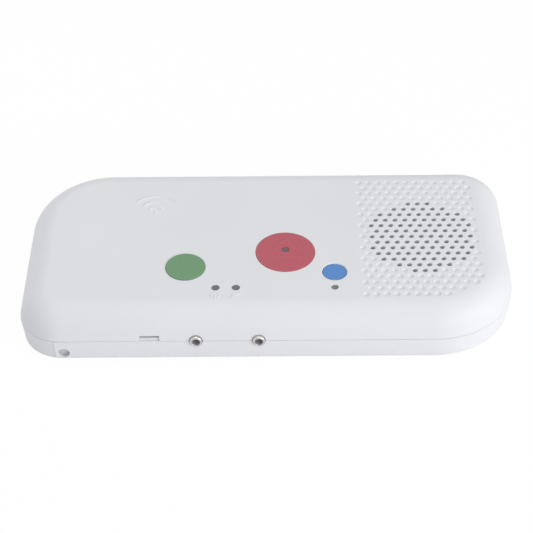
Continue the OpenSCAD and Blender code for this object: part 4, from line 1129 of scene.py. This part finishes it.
class TERMINAL_OT_buttons(bpy.types.Operator):
    """Model the call, presence and alarm buttons with soft rims and raised marks"""

    bl_idname = "terminal.buttons"
    bl_label = "Buttons"

    def execute(self, context):
        sizes = context.scene.terminal_buttons
        crest = top("call_cap") - sizes.mark_height
        call = self.cap(sizes, "call_cap", "call_stems", sizes.call, crest)
        lens = middle("call_lens")
        mouth, deep = 0.12 * MM, 4 * MM
        combine(call, hole(lens, crest, sizes.lens / 2, mouth, deep), "DIFFERENCE")
        gather("call_top", [call, *self.call_marks(sizes, lens, crest)])
        place(call, "call_top", "call_button", "call_cap")
        crest = top("presence_cap") - sizes.mark_height
        presence = self.cap(sizes, "presence_cap", "presence_stem", sizes.presence, crest)
        at = middle("presence_cap")
        at = Vector((at.x, at.y + sizes.ring_rise, crest))
        ring = ring_ridge(at, sizes.ring_radius, sizes.mark_stroke, sizes.mark_height)
        gather("presence_top", [presence, ring])
        place(presence, "presence_top", "presence_button", "presence_cap")
        alarm = self.cap(sizes, "alarm_cap", "alarm_stem", sizes.alarm, top("alarm_cap"))
        place(alarm, "alarm_top", "alarm_button", "alarm_cap")
        return {"FINISHED"}

    def cap(self, sizes, node, stems, width, high):
        """A cup with a flange below, a soft rim and a faint crown, on posts over its switches."""
        at = middle(node)
        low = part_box(node)[0][2]
        radius = width / 2
        under = high - SKIN
        wide = radius + FLANGE_LIP
        inner = radius - SKIN
        ledge = low + FLANGE
        edge = high - sizes.crown
        flat = radius - sizes.rim_width
        sections = [(inner, under), (inner, low), (wide, low), (wide, ledge), (radius, ledge)]
        sections += [(flat + sizes.rim_width * math.cos(a), edge - sizes.rim * (1 - math.sin(a)))
                     for a in (math.pi / 2 * k / 10 for k in range(11))]
        sections += [(flat * k, high - sizes.crown * k * k) for k in (0.75, 0.5, 0.25, 0.02)]
        cap = turned("cap", (at.x, at.y, 0.0), sections, 96)
        first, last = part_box(stems)
        half = (last[1] - first[1]) / 2
        post = [(POST / 2, top(stems)), (POST / 2, under + SUNK)]
        for x in sorted({round(first[0] + half, 6), round(last[0] - half, 6)}):
            combine(cap, turned("post", (x, at.y, 0.0), post, 32), "UNION")
        return cap

    def call_marks(self, sizes, lens, crest):
        """The triangle's sides and the waves."""
        at = middle("call_cap")
        at = Vector((at.x, at.y + sizes.triangle_rise, crest))
        reach = sizes.triangle / math.sqrt(3) - sizes.triangle_stroke
        corners = [at + reach * ray(math.radians(a)) for a in (90, 210, 330)]
        sides = zip(corners, corners[1:] + corners[:1])
        ridges = [line_ridge(a, b, sizes.triangle_stroke, sizes.mark_height) for a, b in sides]
        spot = Vector((lens.x, lens.y, crest))
        for k in range(2):
            radius = sizes.wave_radius + k * sizes.wave_step
            sweep = map(math.radians, CALL_WAVE)
            ridges.append(arc_ridge(spot, radius, sizes.mark_stroke, sizes.mark_height, *sweep))
        return ridges


class TERMINAL_OT_windows(bpy.types.Operator):
    """Model the status windows and the call button's lens with soft domed tops"""

    bl_idname = "terminal.windows"
    bl_label = "Windows"

    def execute(self, context):
        face = context.scene.terminal_face
        sizes = context.scene.terminal_buttons
        case = context.scene.terminal_case
        under = case.face - case.wall
        ledge = under - PIPE_LIP
        radius = face.window / 2 - PIPE_GAP
        for node in WINDOWS:
            lip = half_width(node)
            sections = [(radius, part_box(node)[0][2]), (radius, ledge), (lip, ledge), (lip, under)]
            place(self.pipe(node, sections, radius), node + "_pipe", "case", node)
        lip = half_width("call_lens")
        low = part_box("call_lens")[0][2]
        sections = [(lip, low), (lip, low + PIPE_LIP)]
        lens = self.pipe("call_lens", sections, sizes.lens / 2 - PIPE_GAP)
        tint = made("terminal_lens", smoked, (0.12, 0.06, 0.08))
        place(lens, "call_lens_pipe", "call_button", "call_lens", tint)
        return {"FINISHED"}

    def pipe(self, node, sections, radius):
        """A light pipe up from its sections to a softly domed top."""
        at = middle(node)
        high = top(node)
        dome = 0.12 * MM
        soft = 0.15 * MM
        flat = radius - soft
        sections = [*sections, (radius, sections[-1][1])]
        sections += arc((flat, high - dome - soft), soft, 0.0, math.pi / 2, 4)
        sections += [(flat * k, high - dome * k * k) for k in (0.8, 0.6, 0.4, 0.2, TIP)]
        return turned(node, (at.x, at.y, 0.0), sections, 48)


class TERMINAL_OT_bushings(bpy.types.Operator):
    """Model the plated bushings of both jacks, each with a blind bore in which their finish paints shade"""

    bl_idname = "terminal.bushings"
    bl_label = "Bushings"

    def execute(self, context):
        sizes = context.scene.terminal_buttons
        bore = sizes.bore / 2
        mouth = 0.25 * MM
        for node in JACKS:
            low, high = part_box(node)
            at = middle(node)
            radius = half_width(node)
            long = high[1] - low[1]
            sections = [(bore * TIP, long - BORE_DEPTH), (bore, long - BORE_DEPTH)]
            sections += arc((bore + mouth, long - mouth), mouth, math.pi, math.pi / 2, 5)
            sections += arc((radius - BUSHING_LIP, long - BUSHING_LIP), BUSHING_LIP, math.pi / 2, 0.0, 8)
            sections += [(radius, 0.0), (radius * TIP, 0.0)]
            piece = turned(node, (at.x, high[1], at.z), sections, 64, OUT)
            place(piece, node + "_ring", "case", node)
        return {"FINISHED"}


LAMPS = (
    ("overhead", (0.0, 0.0, 1.1), 0.8),
    ("front_right", (0.65, -0.92, 0.41), 0.4),
    ("right", (0.98, -0.56, 0.41), 0.4),
    ("back_left", (-0.45, 0.77, 0.8), 0.4),
    ("left", (-0.4, 0.08, 0.22), 0.3),
)


class TERMINAL_OT_stage(bpy.types.Operator):
    """Set the floor, the lamps, the sky and the camera"""

    bl_idname = "terminal.stage"
    bl_label = "Stage"

    def execute(self, context):
        stage = context.scene.terminal_stage
        self.floor(stage)
        self.sky(context.scene, stage)
        for name, place, size in LAMPS:
            self.lamp(name + "_lamp", place, size, getattr(stage, name))
        self.camera(context.scene, stage)
        context.scene.view_settings.view_transform = "Standard"
        return {"FINISHED"}

    def floor(self, stage):
        bpy.ops.object.select_all(action="DESELECT")
        bpy.ops.mesh.primitive_plane_add(size=6.0, location=(0.0, 0.0, 0.0))
        floor = bpy.context.object
        floor.name = "floor"
        f = Finish("floor_paper")
        f.set(Base_Color=tuple(stage.floor_colour), Roughness=0.9)
        self.whiten(f, f.shader, "Material Output", 0.94)
        floor.data.materials.append(f.material)

    def whiten(self, nodes, shader, output, share):
        """Shows a share of plain white in place of a shader where an eye or a mirror looks."""
        camera, mirror, glass = [
            nodes.node("ShaderNodeLightPath", output=f"Is {kind} Ray")
            for kind in ("Camera", "Glossy", "Transmission")
        ]
        seen = camera.maths("MAXIMUM", mirror).maths("MAXIMUM", glass) * share
        lit = Value(nodes, shader.outputs[0])
        white = nodes.node("ShaderNodeEmission")
        mixed = nodes.node("ShaderNodeMixShader", inputs={0: seen, 1: lit, 2: white})
        nodes.feed(nodes.tree.nodes[output].inputs[0], mixed)

    def sky(self, scene, stage):
        scene.world = bpy.data.worlds.new("studio")
        scene.world.use_nodes = True
        nodes = Tree(scene.world.node_tree)
        sky = nodes.tree.nodes["Background"]
        nodes.feed(sky.inputs["Color"], (1.0, 1.0, 1.0))
        nodes.feed(sky.inputs["Strength"], stage.sky)
        self.whiten(nodes, sky, "World Output", 1.0)

    def lamp(self, name, place, size, power):
        data = bpy.data.lights.new(name, "AREA")
        data.shape = "SQUARE"
        data.size = size
        data.energy = power
        lamp = bpy.data.objects.new(name, data)
        lamp.location = place
        lamp.rotation_euler = Vector(place).to_track_quat("Z", "Y").to_euler()
        bpy.context.scene.collection.objects.link(lamp)

    def camera(self, scene, stage):
        back = Vector(stage.camera_back).normalized()
        right = Matrix.Rotation(stage.camera_roll, 3, back) @ UP.cross(back).normalized()
        up = back.cross(right)
        data = bpy.data.cameras.new("camera")
        data.lens = stage.lens
        camera = bpy.data.objects.new("camera", data)
        camera.matrix_world = Matrix((right, up, back)).transposed().to_4x4()
        camera.location = stage.camera_at
        scene.collection.objects.link(camera)
        scene.camera = camera


class TERMINAL_PT_panel(bpy.types.Panel):
    """The steps that build the terminal's looks"""

    bl_idname = "TERMINAL_PT_panel"
    bl_label = "Terminal"
    bl_space_type = "VIEW_3D"
    bl_region_type = "UI"
    bl_category = "Terminal"

    def draw(self, context):
        for step in STEPS:
            self.layout.operator(step.bl_idname)


GROUPS = {
    "terminal_case": TerminalCase,
    "terminal_face": TerminalFace,
    "terminal_buttons": TerminalButtons,
    "terminal_stage": TerminalStage,
}
STEPS = (
    TERMINAL_OT_finishes,
    TERMINAL_OT_front_cover,
    TERMINAL_OT_rear_cover,
    TERMINAL_OT_buttons,
    TERMINAL_OT_windows,
    TERMINAL_OT_bushings,
    TERMINAL_OT_stage,
)
CLASSES = (*GROUPS.values(), *STEPS, TERMINAL_PT_panel)


def register():
    for cls in CLASSES:
        bpy.utils.register_class(cls)
    for name, group in GROUPS.items():
        setattr(bpy.types.Scene, name, bpy.props.PointerProperty(type=group))


def unregister():
    for name in GROUPS:
        delattr(bpy.types.Scene, name)
    for cls in reversed(CLASSES):
        bpy.utils.unregister_class(cls)


def main():
    register()
    for step in STEPS:
        group, name = step.bl_idname.split(".")
        getattr(getattr(bpy.ops, group), name)()


if __name__ == "__main__":
    main()
